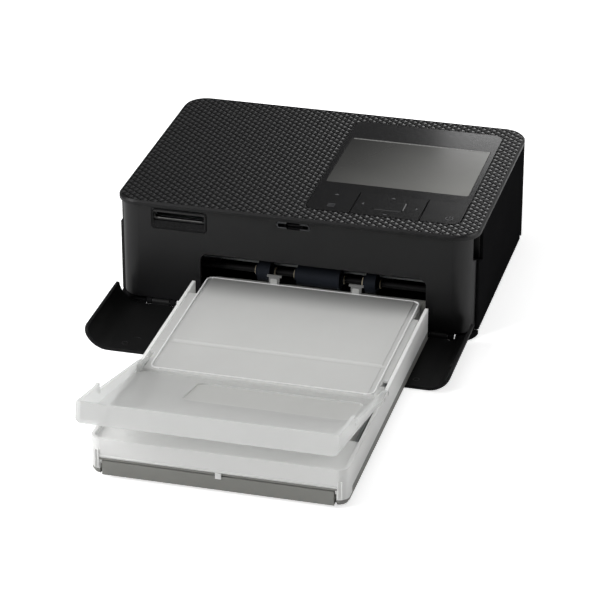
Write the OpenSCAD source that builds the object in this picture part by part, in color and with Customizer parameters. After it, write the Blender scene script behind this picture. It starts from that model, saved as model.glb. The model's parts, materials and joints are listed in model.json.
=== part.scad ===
// Compact photo printer with its paper cassette fitted and its front flap down.
// Every module is drawn in the housing's frame: x = 0 at mid width, y = 0 at the
// front edge of the top cover, z = 0 on the table. place() then moves it into the part frame.

/* [Housing] */
// Overall depth of the housing without the paper cassette
body_d = 133; // [131:0.5:142]
// Room between the cassette and the housing's left side
left_room = 41.7; // [41.1:0.1:50]
// Room between the cassette and the housing's right side
right_room = 21.6; // [21.5:0.1:28]
// Height of the room for the works, from the base plate to the top cover
works_h = 50.8; // [50.8:0.1:58]
// Radius of the vertical corners
corner_r = 12; // [10:0.5:13]
// Thickness of the side and rear covers
wall = 1.6; // [1.2:0.1:1.7]
// Thickness of the front panel behind the flap
panel_t = 2.4; // [1.8:0.1:3]
// Thickness of the top cover at its rim
top_t = 2.8; // [2.4:0.1:3.2]
// Chamfer round the top edge
top_chamfer = 1.1; // [0.6:0.1:1.6]
// Thickness of the base plate
base_t = 1.6; // [1.4:0.1:1.8]
// Height of the rubber feet below the base plate
foot_h = 2.4; // [2:0.1:2.6]
// Radius of a rubber foot
foot_r = 5.5; // [4:0.5:7]

/* [Control panel] */
// Margin to the right of the control panel
deck_side = 11.2; // [9:0.1:14]
// Width of the control panel
deck_w = 77.5; // [74:0.5:79]
// Front edge of the control panel
deck_y = 13; // [12:0.5:14.5]
// Margin behind the control panel
deck_rear = 10.25; // [8:0.25:14]
// Corner radius of the control panel
deck_r = 5.2; // [3:0.1:7]
// Depth of the row of keys
key_row = 25; // [24:0.5:26]
// Width of the left key
left_key_w = 22.5; // [18:0.5:24]
// Width of the four-way pad
pad_w = 35; // [30:0.5:37]
// Width of the centre button
ok_w = 15.6; // [12:0.1:18]
// Depth of the centre button
ok_d = 11.2; // [9:0.1:13]
// Travel of the pressed keys
key_travel = 0.4; // [0.3:0.05:0.5]
// Width of the screen window
screen_w = 72.2; // [66:0.1:73]
// Depth of the screen window
screen_d = 55.2; // [50:0.1:60]

/* [Front] */
// Thickness of the front flap
flap_t = 1.5; // [1.3:0.1:1.6]
// Depth of the flap's wings round the corners
wing_d = 11; // [10:0.1:13]
// Corner radius at the wings' tips
wing_tip_r = 4; // [2:0.5:5]
// Height of the top of the cassette opening above the table
mouth_top = 31.5; // [30:0.1:33]
// Width of the memory card bezel
bezel_w = 28.1; // [27:0.1:29]
// Height of the memory card bezel
bezel_h = 10.7; // [10.4:0.1:10.8]
// Width of the pocket round the data port
port_w = 17.5; // [14:0.5:20]
// Height of the pocket round the data port
port_h = 3.8; // [3.6:0.1:4.2]
// Lower edge of the finger notch in the ink door
notch_z = 38.5; // [37:0.5:43]
// Depth of the finger notch behind the door's front edge
notch_d = 6; // [4:0.2:7]

/* [Paper cassette] */
// Width of a sheet of paper
paper_w = 100; // [89:0.5:102]
// Length of a sheet of paper
paper_l = 148; // [140:0.5:152]
// Height of the stack of sheets
stack_h = 4.5; // [1:0.25:4.5]
// Length of the cassette in front of its shoulders
tray_l = 161; // [158:0.5:170]
// Length of the part that enters the housing
insert_l = 21.5; // [20:0.5:22]
// Height of the grey lower shell
tray_base_h = 5.6; // [5.4:0.1:6.5]
// Height of the top of the cassette's walls above the table
tray_top = 20; // [19:0.1:20.5]
// Wall thickness of the cassette
tray_t = 1.6; // [1.3:0.1:1.8]
// Depth of the inner cover from its rear edge to its front edge
cover_l = 100; // [96:0.5:103]
// Reach of the outer lid from its pins to its lip
lid_l = 96.5; // [90:0.5:98]
// Tilt of the outer lid while prints land on it, degrees
lid_tilt = 12.7; // [8:0.1:14]
// Height of the outer lid's lip
lip_h = 8.4; // [7:0.1:11]

/* [Print works] */
// Radius of the paper pick-up rollers
pick_r = 5.2; // [4.6:0.1:5.4]
// Radius of the platen roller
platen_r = 6; // [5:0.1:6]
// Radius of the steel feed roller
feed_r = 4; // [3.4:0.1:4]
// Outer radius of the ink cassette's two tubes
tube_r = 9; // [8.6:0.1:9]
// Distance between the ink cassette's tubes
tube_gap = 44; // [44:0.1:45]
// Module of the gears
gear_m = 0.6; // [0.58:0.01:0.6]
// Teeth of the feed and platen gears
feed_teeth = 36; // [36:1:37]
// Teeth of the transfer gear
transfer_teeth = 28; // [28:1:28]
// Teeth of the motor pinion
pinion_teeth = 12; // [12:1:13]
// Radius of the motor's can
motor_r = 12; // [10:0.5:12]
// Thickness of the steel side plates
plate_t = 1.2; // [1:0.1:1.4]

/* [Hidden] */
$fn = 48;
tiny = 0.01;

// Gaps between pieces
seam = 0.2;
fit = 0.3;
pin_play = 0.05;

// Colours
black = "#1d1d1f";
gloss = "#101012";
dark_grey = "#2c2c2f";
steel = "#b9bcc0";
rubber_grey = "#3c4048";
milky = "#d9dcdd";
base_grey = "#73736f";
white = "#f0f0ee";
board_green = "#1f4f38";

// Housing, as wide as the paper cassette and the rooms beside it
tray_w = paper_w + 18.9;
body_w = left_room + tray_w + right_room;
half_w = body_w / 2;
base_top = foot_h + base_t;
roof = base_top + works_h;
body_h = roof + top_t;
skin_depth = 0.55;
skin_rim = 1;
shell_z0 = foot_h + 0.4;
shell_z1 = roof - fit;
front_face = flap_t + fit;
side_y = wing_d + fit;
rear_y = body_d - corner_r + seam;
panel_z0 = base_top + seam;
panel_back = front_face + panel_t;
pocket_y0 = 7.5;
pocket_slope = 0.36;
side_in = half_w - wall;
foot_x = half_w - 15;
foot_y0 = 24;
foot_y1 = body_d - 14;
foot_sink = 0.5;

// Flap hinge: the flap lies on the table when it is down
flap_axis = flap_t / 2 + 1.35;
flap_z0 = foot_h + 0.6;
flap_swing = roof - fit - flap_axis;
flap_z1 = flap_axis + wing_tip_r
    + sqrt(pow(flap_swing - wing_tip_r, 2) - pow(wing_d - wing_tip_r - flap_axis, 2));
lug_r = 1.8;
flap_pin_r = 0.9;
lug_w = 9;
ear_w = 2.6;
ear_r = 1.6;
lug_xs = [-half_w + 23.1, half_w - 17.7];

// Control panel
deck_x1 = half_w - deck_side;
deck_x = deck_x1 - deck_w;
deck_d = body_d - deck_y - deck_rear;
deck_top = body_h - 0.3;
flange_z = roof - 1.4;
flange_out = 2;
key_y1 = deck_y + key_row;
key_z = roof + 0.4;
key_gap = 0.22;
pad_x = deck_x + left_key_w;
power_x = pad_x + pad_w;
ok_x = pad_x + pad_w / 2;
ok_y = deck_y + key_row / 2;
screen_x = deck_x + (deck_w - screen_w) / 2;
screen_y = key_y1 + 8.5;
glass_t = 0.9;
board_t = 1.2;
board_z = flange_z - 0.4 - board_t;
switch_r = 2;
switch_h = 0.7;
stem_r = 1.5;
stub_r = key_z - roof + seam - pin_play;

// Front panel fittings
bezel_x = -half_w + 33.1;
bezel_z = roof - 1.3 - bezel_h / 2;
slit_h = 2.5;
slit_z = bezel_z + 1.7;
port_z = roof - 0.8 - port_h / 2;
reader_z = slit_z - 2.4;
port_board_z = reader_z - board_t;
usb_hw = 4.5;
usb_hh = 1.6;

// Paper cassette
tray_x0 = -half_w + left_room;
tray_x1 = tray_x0 + tray_w;
mouth_x0 = tray_x0 + 2.05;
mouth_x1 = tray_x1 - 2.95;
mouth_w = mouth_x1 - mouth_x0;
shoulder_y = -5.5;
tray_y0 = shoulder_y - tray_l;
insert_y1 = shoulder_y + insert_l;
insert_x0 = tray_x0 + 6;
insert_x1 = tray_x1 - 4.6;
tray_mid = (insert_x0 + insert_x1) / 2;
tray_z0 = flap_t + 0.5;
insert_z0 = base_top + seam;
tray_base_top = tray_z0 + tray_base_h;
tray_corner = 5;
corner_z = tray_z0 + 2.6;
corner_l = 9;
foot_step = 1.4;
bar_z1 = tray_z0 + 7;
shelf_l = 29.5;
insert_wall_top = 13;
cover_t = 1.4;
cover_y1 = front_face - seam;
cover_y0 = cover_y1 - cover_l;
cover_axis_y = cover_y0 + 2.2;
cover_axis_z = tray_top - 1.9;
cover_side_gap = 0.45;
notch_len = 12.8;
hinge_pin_r = 1.2;
arm_in = tray_t + cover_side_gap;
arm_t = 1.8;
lid_y = cover_y0 + 9.4;
lid_z = tray_top - 2.4;
lid_plate = -0.75;
lid_plate_t = 1.4;
lid_s0 = 10.4;
lip_r = 2.6;
stack_y1 = insert_y1 - tray_t - 0.5;
stack_z = insert_z0 + tray_t + 0.9;
lift_t = 0.6;
lift_rod_r = 0.8;
lift_axis_y = stack_y1 - paper_l - 1.6;
lift_axis_z = stack_z - 0.1 - lift_t / 2;

// Print works, side plates and shafts
plate_x0 = insert_x0 - 9.1;
plate_x1 = tray_x1 + 6.5;
plate_y0 = panel_back + 2.4;
plate_y1 = body_d - 15;
shaft_x0 = plate_x0 - 1.2;
shaft_x1 = plate_x1 + plate_t + 1.2;
pick_y = 13.5;
pick_z = insert_z0 + 16.3;
pick_shaft_r = 1.5;
platen_y = body_d - 71;
platen_z = base_top + 13;
print_z = platen_z + platen_r + 0.15;
feed_y = platen_y + 38;
feed_z = print_z - feed_r;
pinch_r = 4;
pinch_z = print_z + pinch_r + 0.1;
shaft_r = 2;
bush_r = 3.2;
tube_wall = 0.8;
tube_z = roof - 17.8;
film_r = tube_r - tube_wall - 1.6;
spindle_r = 2;
tube_y0 = platen_y - tube_gap / 2;
tube_y1 = platen_y + tube_gap / 2;
ink_x0 = insert_x0 - 2.6;
ink_x1 = half_w - wall - 5.5;
bay_y0 = tube_y0 - tube_r - 1;
bay_y1 = tube_y1 + tube_r + 1;
bay_z0 = print_z - 0.55;
reader_y1 = bay_y0 - 2.3;
bay_z1 = tube_z + tube_r + 1.2;
plate_top = bay_z1 + 2.3;
plate_low = print_z + 6.85;
beam_z = bay_z1 + seam;
beam_t = 1.6;
beam_y0 = platen_y - 11;
beam_y1 = platen_y + 12;
head_y = platen_y + 10.3;
head_z = print_z + 7.4;
head_x0 = insert_x0 + 2.2;
head_x1 = insert_x1 + 2.2;
head_pin_r = 1.2;

// Gears on the outside of the left side plate
gear_w = 4;
gear_x1 = plate_x0 - 2;
gear_x0 = gear_x1 - gear_w;
gear_play = 0.1;
feed_pitch_r = gear_m * feed_teeth / 2;
transfer_pitch_r = gear_m * transfer_teeth / 2;
pinion_pitch_r = gear_m * pinion_teeth / 2;
mesh_far = feed_pitch_r + transfer_pitch_r + gear_play;
mesh_near = transfer_pitch_r + pinion_pitch_r + gear_play;
axle_dist = norm([feed_y - platen_y, feed_z - platen_z]);
axle_dir = atan2(feed_z - platen_z, feed_y - platen_y);
transfer_dir = axle_dir + acos(min(1, axle_dist / 2 / mesh_far));
transfer_y = platen_y + mesh_far * cos(transfer_dir);
transfer_z = platen_z + mesh_far * sin(transfer_dir);
motor_y = transfer_y;
motor_z = transfer_z + mesh_near;
motor_x1 = gear_x0 - 2.6;
bracket_t = 1;
motor_x0 = motor_x1 - 20;
to_feed = atan2(feed_z - transfer_z, feed_y - transfer_y);
to_platen = atan2(platen_z - transfer_z, platen_y - transfer_y);
transfer_phase = to_feed;
feed_phase = mesh_phase(transfer_phase, transfer_teeth, to_feed, feed_teeth);
platen_phase = mesh_phase(transfer_phase, transfer_teeth, to_platen, feed_teeth);
pinion_phase = mesh_phase(transfer_phase, transfer_teeth, 90, pinion_teeth);

// Ink door and its bay
knuckle_r = 1.55;
door_pin_r = 0.7;
door_x = half_w - knuckle_r;
door_y = rear_y - 0.45 - knuckle_r;
bay_ear_t = 1.4;
bay_ear_r = 1.35;
bay_ear_zs = [base_top + seam, shell_z1 - 0.4 - bay_ear_t];
knuckle_z0 = bay_ear_zs[0] + bay_ear_t + fit;
knuckle_z1 = bay_ear_zs[1] - fit;
rib_h = 1.2;
bay_t = 1.4;
bay_x1 = side_in - 3.1;
lever_y = bay_y1 + 8.6;
lever_z = tube_z - 3;
lever_t = 1.2;
lever_pin_r = 1;

// Main board on the left cover
board_x = -side_in + 5;
board_y0 = side_y + 9.2;
board_y1 = rear_y - 5.2;
board_z0 = base_top + 5;
board_z1 = roof - 5.8;

// Rear paper slot and power inlet
slot_x0 = insert_x0 + 1;
slot_x1 = insert_x1 - 1.3;
slot_z0 = print_z - 3.4;
slot_z1 = print_z + 2.4;
jack_x = -half_w + 29.1;
jack_z = base_top + 16;
jack_r = 4;
jack_bore = 2.75;

// Part frame: x and y measured from the middle of the whole object's footprint
lid_front = lid_y - lid_l * cos(lid_tilt) + (lid_plate - lid_plate_t) * sin(lid_tilt);
mid_y = (body_d + lid_front) / 2;

function mesh_phase(phase_a, teeth_a, dir, teeth_b) =
    dir + 180 + (0.5 - (phase_a - dir) * teeth_a / 360) * 360 / teeth_b;

function polar(r, a) = [r * cos(a), r * sin(a)];

function gear_points(teeth) =
    let (
        r = gear_m * teeth / 2,
        step = 360 / teeth,
        flank = [
            [r - 1.25 * gear_m, -0.34], [r, -0.215], [r + 0.9 * gear_m, -0.11],
            [r + 0.9 * gear_m, 0.11], [r, 0.215], [r - 1.25 * gear_m, 0.34]
        ]
    )
    [for (i = [0 : teeth - 1]) for (p = flank) polar(p[0], (i + p[1]) * step)];

module place() {
    translate([0, -mid_y, 0]) children();
}

// Extrudes a (y, z) outline from x0 to x1
module along_x(x0, x1) {
    translate([x0, 0, 0]) rotate([90, 0, 90]) linear_extrude(x1 - x0) children();
}

// Extrudes an (x, z) outline from y0 to y1
module along_y(y0, y1) {
    translate([0, y1, 0]) rotate([90, 0, 0]) linear_extrude(y1 - y0) children();
}

module along_z(z0, z1) {
    translate([0, 0, z0]) linear_extrude(z1 - z0) children();
}

// Round bar along x at (y, z)
module bar_x(x0, x1, y, z, r) {
    translate([x0, y, z]) rotate([0, 90, 0]) cylinder(h = x1 - x0, r = r);
}

module block(x0, x1, y0, y1, z0, z1) {
    translate([x0, y0, z0]) cube([x1 - x0, y1 - y0, z1 - z0]);
}

// Rounded rectangle with its corner at the origin
module rounded(w, d, r) {
    translate([r, 0]) square([w - 2 * r, d]);
    translate([0, r]) square([w, d - 2 * r]);
    for (x = [r, w - r], y = [r, d - r]) translate([x, y]) circle(r);
}

// Rounded rectangle between two corners
module rounded_box(x0, x1, y0, y1, r) {
    translate([x0, y0]) rounded(x1 - x0, y1 - y0, r);
}

// Outline of the housing seen from above, drawn in by inset
module plan(inset = 0) {
    rounded_box(-half_w + inset, half_w - inset, inset, body_d - inset, corner_r - inset);
}

module plan_ring(outer, inner) {
    difference() {
        plan(outer);
        plan(inner);
    }
}

// Outline of the control panel, grown by out
module deck(out = 0) {
    rounded_box(deck_x - out, deck_x1 + out, deck_y - out, deck_y + deck_d + out, deck_r + out);
}

// Part of the control panel's outline between two x values, in the row of keys
module key_outline(x0, x1) {
    intersection() {
        deck(-key_gap);
        translate([x0 + key_gap, deck_y]) square([x1 - x0 - 2 * key_gap, key_row - key_gap]);
    }
}

module ok_outline(out = 0) {
    rounded_box(
        ok_x - ok_w / 2 - out, ok_x + ok_w / 2 + out,
        ok_y - ok_d / 2 - out, ok_y + ok_d / 2 + out, 2 + out
    );
}

module top_cover() {
    color(black) place() difference() {
        union() {
            hull() {
                along_z(roof, body_h - top_chamfer) plan();
                along_z(roof, body_h) plan(top_chamfer);
            }
            intersection() {
                along_z(roof - 2.2, roof + tiny) plan_ring(panel_back + fit, panel_back + fit + 1.4);
                block(-half_w + 20, half_w - 20, 0, body_d, 0, body_h);
            }
        }
        block(-port_w, port_w, 0, deck_y, 0, roof);
        // Shallow field for the textured skin, inside a smooth rim
        along_z(body_h - skin_depth, body_h + 1) plan(skin_rim);
        along_z(roof - tiny, body_h + tiny) deck(seam);
        along_z(roof - 3, roof) deck(flange_out + seam);
    }
}

module control_panel() {
    color(gloss) place() difference() {
        union() {
            along_z(flange_z, roof - seam) deck(flange_out);
            along_z(roof - 1, deck_top) deck();
        }
        // Row of keys
        translate([0, 0, roof - seam]) linear_extrude(9) intersection() {
            deck(1);
            translate([deck_x - 1, deck_y - 1]) square([deck_w + 2, key_row + 1]);
        }
        // Windows below the keys
        for (w = [[deck_x, left_key_w], [pad_x, pad_w], [power_x, deck_x1 - power_x]])
            block(w[0] + 3, w[0] + w[1] - 3, deck_y + 3, key_y1 - 3, flange_z - 1, roof);
        // Screen, resting on a ledge
        along_z(deck_top - glass_t - tiny, deck_top + 1) screen_outline(seam);
        along_z(flange_z - 1, deck_top) screen_outline(-1.2);
        translate([0, 0, flange_z - 1]) linear_extrude(deck_top - glass_t - 0.8 - flange_z + 1)
            screen_outline(0.6);
    }
}

module screen_outline(out = 0) {
    rounded_box(
        screen_x - out, screen_x + screen_w + out,
        screen_y - out, screen_y + screen_d + out, max(0.4, 1.2 + out)
    );
}

module screen_window() {
    color("#3a3d42") place() along_z(deck_top - glass_t, deck_top) screen_outline();
}

module lcd_module() {
    color(steel) place() {
        along_z(flange_z - 0.2, deck_top - glass_t - 1) screen_outline(0.2);
        block(screen_x + 20, screen_x + 44, screen_y + screen_d - 4, screen_y + screen_d, board_z + board_t,
            flange_z);
    }
}

module panel_board() {
    color(board_green) place() {
        along_z(board_z, board_z + board_t) rounded_box(
            deck_x + 0.6, deck_x1 - 0.6, deck_y + 1, deck_y + deck_d - 2, 2
        );
        switches = [
            [deck_x + left_key_w / 2, ok_y - 7], [deck_x + left_key_w / 2, ok_y + 7],
            [ok_x - 12, ok_y], [ok_x + 12, ok_y], [ok_x, ok_y],
            [(power_x + deck_x1) / 2, ok_y]
        ];
        for (p = switches) translate([p[0], p[1], board_z + board_t])
            cylinder(h = flange_z - board_z - board_t + switch_h, r = switch_r);
    }
}

// Pins below a key that press its switches
module stems(points) {
    stem_z0 = flange_z + switch_h + key_travel + 0.15;
    for (p = points) translate([p[0], p[1], stem_z0]) cylinder(h = key_z + 0.2 - stem_z0, r = stem_r);
}

module menu_rocker() {
    color(gloss) place() {
        along_z(key_z, deck_top) key_outline(deck_x, pad_x);
        // Stubs it rocks on
        for (x = [deck_x + 0.7, pad_x - 2.6]) bar_x(x, x + 1.9, ok_y, key_z, stub_r);
        stems([[deck_x + left_key_w / 2, ok_y - 7], [deck_x + left_key_w / 2, ok_y + 7]]);
    }
}

module nav_pad() {
    color(gloss) place() {
        difference() {
            along_z(key_z, deck_top) key_outline(pad_x, power_x);
            along_z(key_z - 1, deck_top + 1) ok_outline(key_gap);
        }
        // Stubs it rocks on
        for (y = [deck_y + 0.7, key_y1 - 2.7]) translate([ok_x, y, key_z])
            rotate([-90, 0, 0]) cylinder(h = 1.9, r = stub_r);
        stems([[ok_x - 12, ok_y], [ok_x + 12, ok_y]]);
    }
}

module ok_button() {
    color(gloss) place() {
        hull() {
            along_z(key_z, deck_top) ok_outline();
            along_z(key_z, deck_top + 0.3) ok_outline(-0.5);
        }
        stems([[ok_x, ok_y]]);
    }
}

module power_key() {
    color(gloss) place() {
        along_z(key_z, deck_top) key_outline(power_x, deck_x1);
        stems([[(power_x + deck_x1) / 2, ok_y]]);
    }
}

// Cassette opening seen from the front, with rounded upper corners
module mouth_outline() {
    r = 3.7;
    translate([mouth_x0, 0]) square([mouth_w, mouth_top - r]);
    translate([mouth_x0 + r, 0]) square([mouth_w - 2 * r, mouth_top]);
    for (x = [mouth_x0 + r, mouth_x1 - r]) translate([x, mouth_top - r]) circle(r);
}

module bezel_outline(out = 0) {
    rounded_box(
        bezel_x - bezel_w / 2 - out, bezel_x + bezel_w / 2 + out,
        bezel_z - bezel_h / 2 - out, bezel_z + bezel_h / 2 + out, 1.4 + out
    );
}

// Round-ended slot centred on mid width
module pill(w, h, z) {
    rounded_box(-w / 2, w / 2, z - h / 2, z + h / 2, h / 2 - tiny);
}

// Side view of the finger pocket from y0 back, with a floor that slopes down to the rear
module pocket_side(y0, grow = 0) {
    y1 = side_y + notch_d + grow;
    z1 = notch_z - grow;
    polygon([[y0, z1 + (y1 - y0) * pocket_slope], [y1, z1], [y1, body_h], [y0, body_h]]);
}

// Volume of the finger pocket at the right front corner
module finger_pocket(grow = 0) {
    intersection() {
        along_z(0, roof + 1) plan_ring(-1, front_face + 5.5 + grow);
        along_x(half_w - 9 - grow, half_w + 2) pocket_side(pocket_y0 - grow, grow);
    }
}

module front_panel() {
    color(black) place() difference() {
        union() {
            intersection() {
                along_z(panel_z0, shell_z1) plan_ring(front_face, panel_back);
                block(-half_w, half_w, 0, side_y + 6, 0, body_h);
            }
            intersection() {
                along_z(panel_z0, shell_z1) plan(front_face);
                finger_pocket(1.4);
            }
            // Ribs that carry the port board
            for (x = [bezel_x - bezel_w / 2 + 1, bezel_x + bezel_w / 2 - 1, -port_w / 2, port_w / 2])
                block(x, x + 1.6, panel_back - 0.5, panel_back + 9, port_board_z - 4, port_board_z);
        }
        along_y(-1, side_y + 7) mouth_outline();
        along_y(-1, panel_back + 1) bezel_outline(seam);
        along_y(-1, panel_back + 1) pill(port_w, port_h, port_z);
        finger_pocket();
    }
}

module card_slot_bezel() {
    slot_w = bezel_w - 3.3;
    lip_z = bezel_z - 4.5;
    back = front_face + 1.5;
    color(black) place() difference() {
        along_y(front_face, panel_back + 0.2) bezel_outline();
        // Slit for the card
        block(bezel_x - slot_w / 2, bezel_x + slot_w / 2, 0, 9, slit_z - slit_h / 2, slit_z + slit_h / 2);
        // Recess with a sloped lower lip and a ledge under the slit
        along_x(bezel_x - slot_w / 2 - 0.7, bezel_x + slot_w / 2 + 0.7) polygon([
            [front_face - 1, lip_z], [front_face, lip_z], [front_face + 0.8, slit_z - 3],
            [back, slit_z - 3], [back, slit_z - 2.1], [back - 0.5, slit_z - 2.1],
            [back - 0.5, slit_z], [back, slit_z], [back, slit_z + slit_h / 2 + 0.6],
            [front_face - 1, slit_z + slit_h / 2 + 0.6]
        ]);
    }
}

module card_reader() {
    reader_w = bezel_w - 1.9;
    y0 = panel_back + 0.5;
    color(steel) place() difference() {
        block(bezel_x - reader_w / 2, bezel_x + reader_w / 2, y0, reader_y1, reader_z, reader_z + 4.2);
        block(bezel_x - 12.2, bezel_x + 12.2, y0 - 1, reader_y1 - 3,
            slit_z - slit_h / 2, slit_z + slit_h / 2);
    }
}

module usb_port() {
    back = front_face + 2;
    color(steel) place() difference() {
        union() {
            along_y(front_face + 0.8, back + 7) pill(2 * usb_hw, 2 * usb_hh, port_z);
            along_y(panel_back + 0.1, panel_back + 1.1) pill(port_w + 4, port_h + 0.2, port_z);
            block(-4, 4, panel_back + 0.3, back + 7, reader_z, port_z - 1);
        }
        difference() {
            along_y(front_face, back + 6) pill(2 * usb_hw - 0.6, 2 * usb_hh - 0.6, port_z);
            block(-3.2, 3.2, front_face + 1.4, back + 7, port_z - 0.35, port_z + 0.35);
        }
    }
}

module port_board() {
    color(board_green) place()
        block(
            bezel_x - bezel_w / 2 - 0.5, port_w / 2 + 4, panel_back + 1, bay_y0 - 1.5, port_board_z, reader_z
        );
}

module left_cover() {
    color(black) place() {
        difference() {
            block(-half_w, -side_in, side_y, rear_y - seam, shell_z0, shell_z1);
            // Step in the front edge, above the flap's wing
            block(-half_w - 1, -side_in + 1, side_y - 1, side_y + 2.5, notch_z + 1.5, body_h);
        }
        for (z = [board_z0 + 11, board_z1 - 11])
            block(-side_in - tiny, -side_in + 1.2, side_y + 8, rear_y - 4, z, z + 1.4);
        for (y = [board_y0 + 6, board_y1 - 6], z = [board_z0 + 4, board_z1 - 4])
            bar_x(-side_in - tiny, board_x, y, z, 2.2);
    }
}

module main_board() {
    face = board_x + 1.5;
    color(board_green) place() {
        block(board_x, face, board_y0, board_y1, board_z0, board_z1);
        // Processor, memory, connector and capacitors
        block(face, face + 1.5, board_y0 + 16, board_y0 + 32, board_z0 + 15, board_z0 + 31);
        block(face, face + 1.2, board_y0 + 36, board_y0 + 44, board_z0 + 3, board_z0 + 13);
        block(face, face + 4.5, board_y1 - 19, board_y1 - 5, board_z1 - 19, board_z1 - 13);
        for (z = [board_z0 + 5, board_z0 + 13]) bar_x(face, face + 6.5, board_y1 - 11, z, 3);
    }
}

module rear_cover() {
    color(black) place() difference() {
        intersection() {
            along_z(shell_z0, shell_z1) plan_ring(0, wall);
            block(-half_w, half_w, rear_y, body_d, 0, body_h);
        }
        block(slot_x0, slot_x1, body_d - 3, body_d + 1, slot_z0, slot_z1);
        // Ventilation slots
        for (i = [0 : 9]) along_y(body_d - 3, body_d + 1)
            rounded_box(half_w - 61 + i * 4.4, half_w - 59 + i * 4.4, tube_z - 3, tube_z + 9, 0.9);
        along_y(body_d - 3, body_d + 1) translate([jack_x, jack_z]) circle(jack_r + seam);
    }
}

module dc_jack() {
    color(dark_grey) place() difference() {
        union() {
            along_y(body_d - wall - 12, body_d - 0.3) translate([jack_x, jack_z]) circle(jack_r);
            block(jack_x - 5, jack_x + 5, body_d - wall - 13, body_d - wall - 0.2, jack_z - 6, jack_z + 4.6);
        }
        difference() {
            along_y(body_d - 10, body_d) translate([jack_x, jack_z]) circle(jack_bore);
            along_y(body_d - 11, body_d - 1) translate([jack_x, jack_z]) circle(0.9);
        }
    }
}

module base_plate() {
    lip_in = wall + 0.3;
    color(black) place() difference() {
        union() {
            intersection() {
                along_z(foot_h, base_top) plan(lip_in);
                block(-half_w, half_w, panel_back + fit, body_d, 0, body_h);
            }
            intersection() {
                along_z(base_top - tiny, base_top + 4) plan_ring(panel_back + fit, panel_back + fit + 1.4);
                block(-half_w, half_w, side_y + 8, body_d, 0, body_h);
                union() {
                    block(-half_w, -half_w + 20, 0, body_d, 0, body_h);
                    block(-half_w, half_w, rear_y, body_d, 0, body_h);
                }
            }
            // Ears that hold the flap's pins
            for (x = lug_xs, side = [-1, 1]) hinge_ear(x + side * (lug_w + ear_w + 2 * fit) / 2);
        }
        for (x = [-foot_x, foot_x], y = [foot_y0, foot_y1]) translate([x, y, foot_h - 1])
            cylinder(h = 1 + foot_sink, r = foot_r + pin_play);
        for (p = screw_points()) translate([p[0], p[1], 0]) {
            cylinder(h = foot_h + 1, r = 2.6);
            cylinder(h = 20, r = 1.25);
        }
        for (x = lug_xs) bar_x(x - 9, x + 9, flap_axis, flap_axis, flap_pin_r + pin_play);
        // Air slots under the print head
        for (i = [0 : 7]) translate([tray_mid - 31 + i * 8, platen_y - 12, 0])
            linear_extrude(20) rounded(2, 26, 0.95);
    }
}

module hinge_ear(x) {
    along_x(x - ear_w / 2, x + ear_w / 2) {
        translate([flap_axis, flap_axis]) circle(ear_r);
        translate([flap_axis, foot_h]) square([panel_back + 1 - flap_axis, flap_axis + ear_r - foot_h]);
    }
}

function screw_points() = [
    for (x = [plate_x0 - 4, plate_x1 + plate_t + 4], y = [plate_y0 + 28, plate_y1 - 14]) [x, y]
];

module base_screws() {
    color(steel) place() for (p = screw_points()) translate([p[0], p[1], 0]) {
        translate([0, 0, foot_h + 0.1]) cylinder(h = 0.9, r = 2.4);
        translate([0, 0, foot_h + 0.5]) cylinder(h = base_t + plate_t + 0.6, r = 1.15);
    }
}

module rubber_feet() {
    color("#0c0c0c") place() for (x = [-foot_x, foot_x], y = [foot_y0, foot_y1])
        translate([x, y, 0]) cylinder(h = foot_h + foot_sink, r = foot_r);
}

// Flap drawn shut, in front of the housing
module flap_shut() {
    difference() {
        union() {
            intersection() {
                along_z(flap_z0, flap_z1) plan_ring(0, flap_t);
                block(-half_w, half_w, 0, wing_d, 0, body_h);
                along_x(-half_w, half_w) union() {
                    translate([0, 0]) square([wing_d - wing_tip_r, body_h]);
                    square([wing_d, flap_z1 - wing_tip_r]);
                    translate([wing_d - wing_tip_r, flap_z1 - wing_tip_r]) circle(wing_tip_r);
                }
            }
            for (x = lug_xs) along_x(x - lug_w / 2, x + lug_w / 2) {
                translate([flap_axis, flap_axis]) circle(lug_r);
                translate([fit, flap_axis]) square([flap_axis - fit, lug_r]);
            }
            // Latch block inside the right wing
            block(half_w - flap_t - 1.2, half_w - flap_t + tiny, 6, 10, flap_z1 - 12, flap_z1 - 8);
        }
        for (x = lug_xs) {
            bar_x(x - 9, x + 9, flap_axis, flap_axis, flap_pin_r + pin_play);
            for (side = [-1, 1]) block(
                x + side * (lug_w / 2 + fit + ear_w / 2) - ear_w / 2 - fit,
                x + side * (lug_w / 2 + fit + ear_w / 2) + ear_w / 2 + fit,
                -1, flap_t + 1, flap_z0 - 1, flap_axis + 2.3
            );
        }
    }
}

module front_flap() {
    color(black) place() translate([0, flap_axis, flap_axis]) rotate([90, 0, 0])
        translate([0, -flap_axis, -flap_axis]) flap_shut();
}

module flap_pins() {
    half = lug_w / 2 + fit + ear_w;
    color(steel) place() for (x = lug_xs) bar_x(x - half, x + half, flap_axis, flap_axis, flap_pin_r);
}

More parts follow.
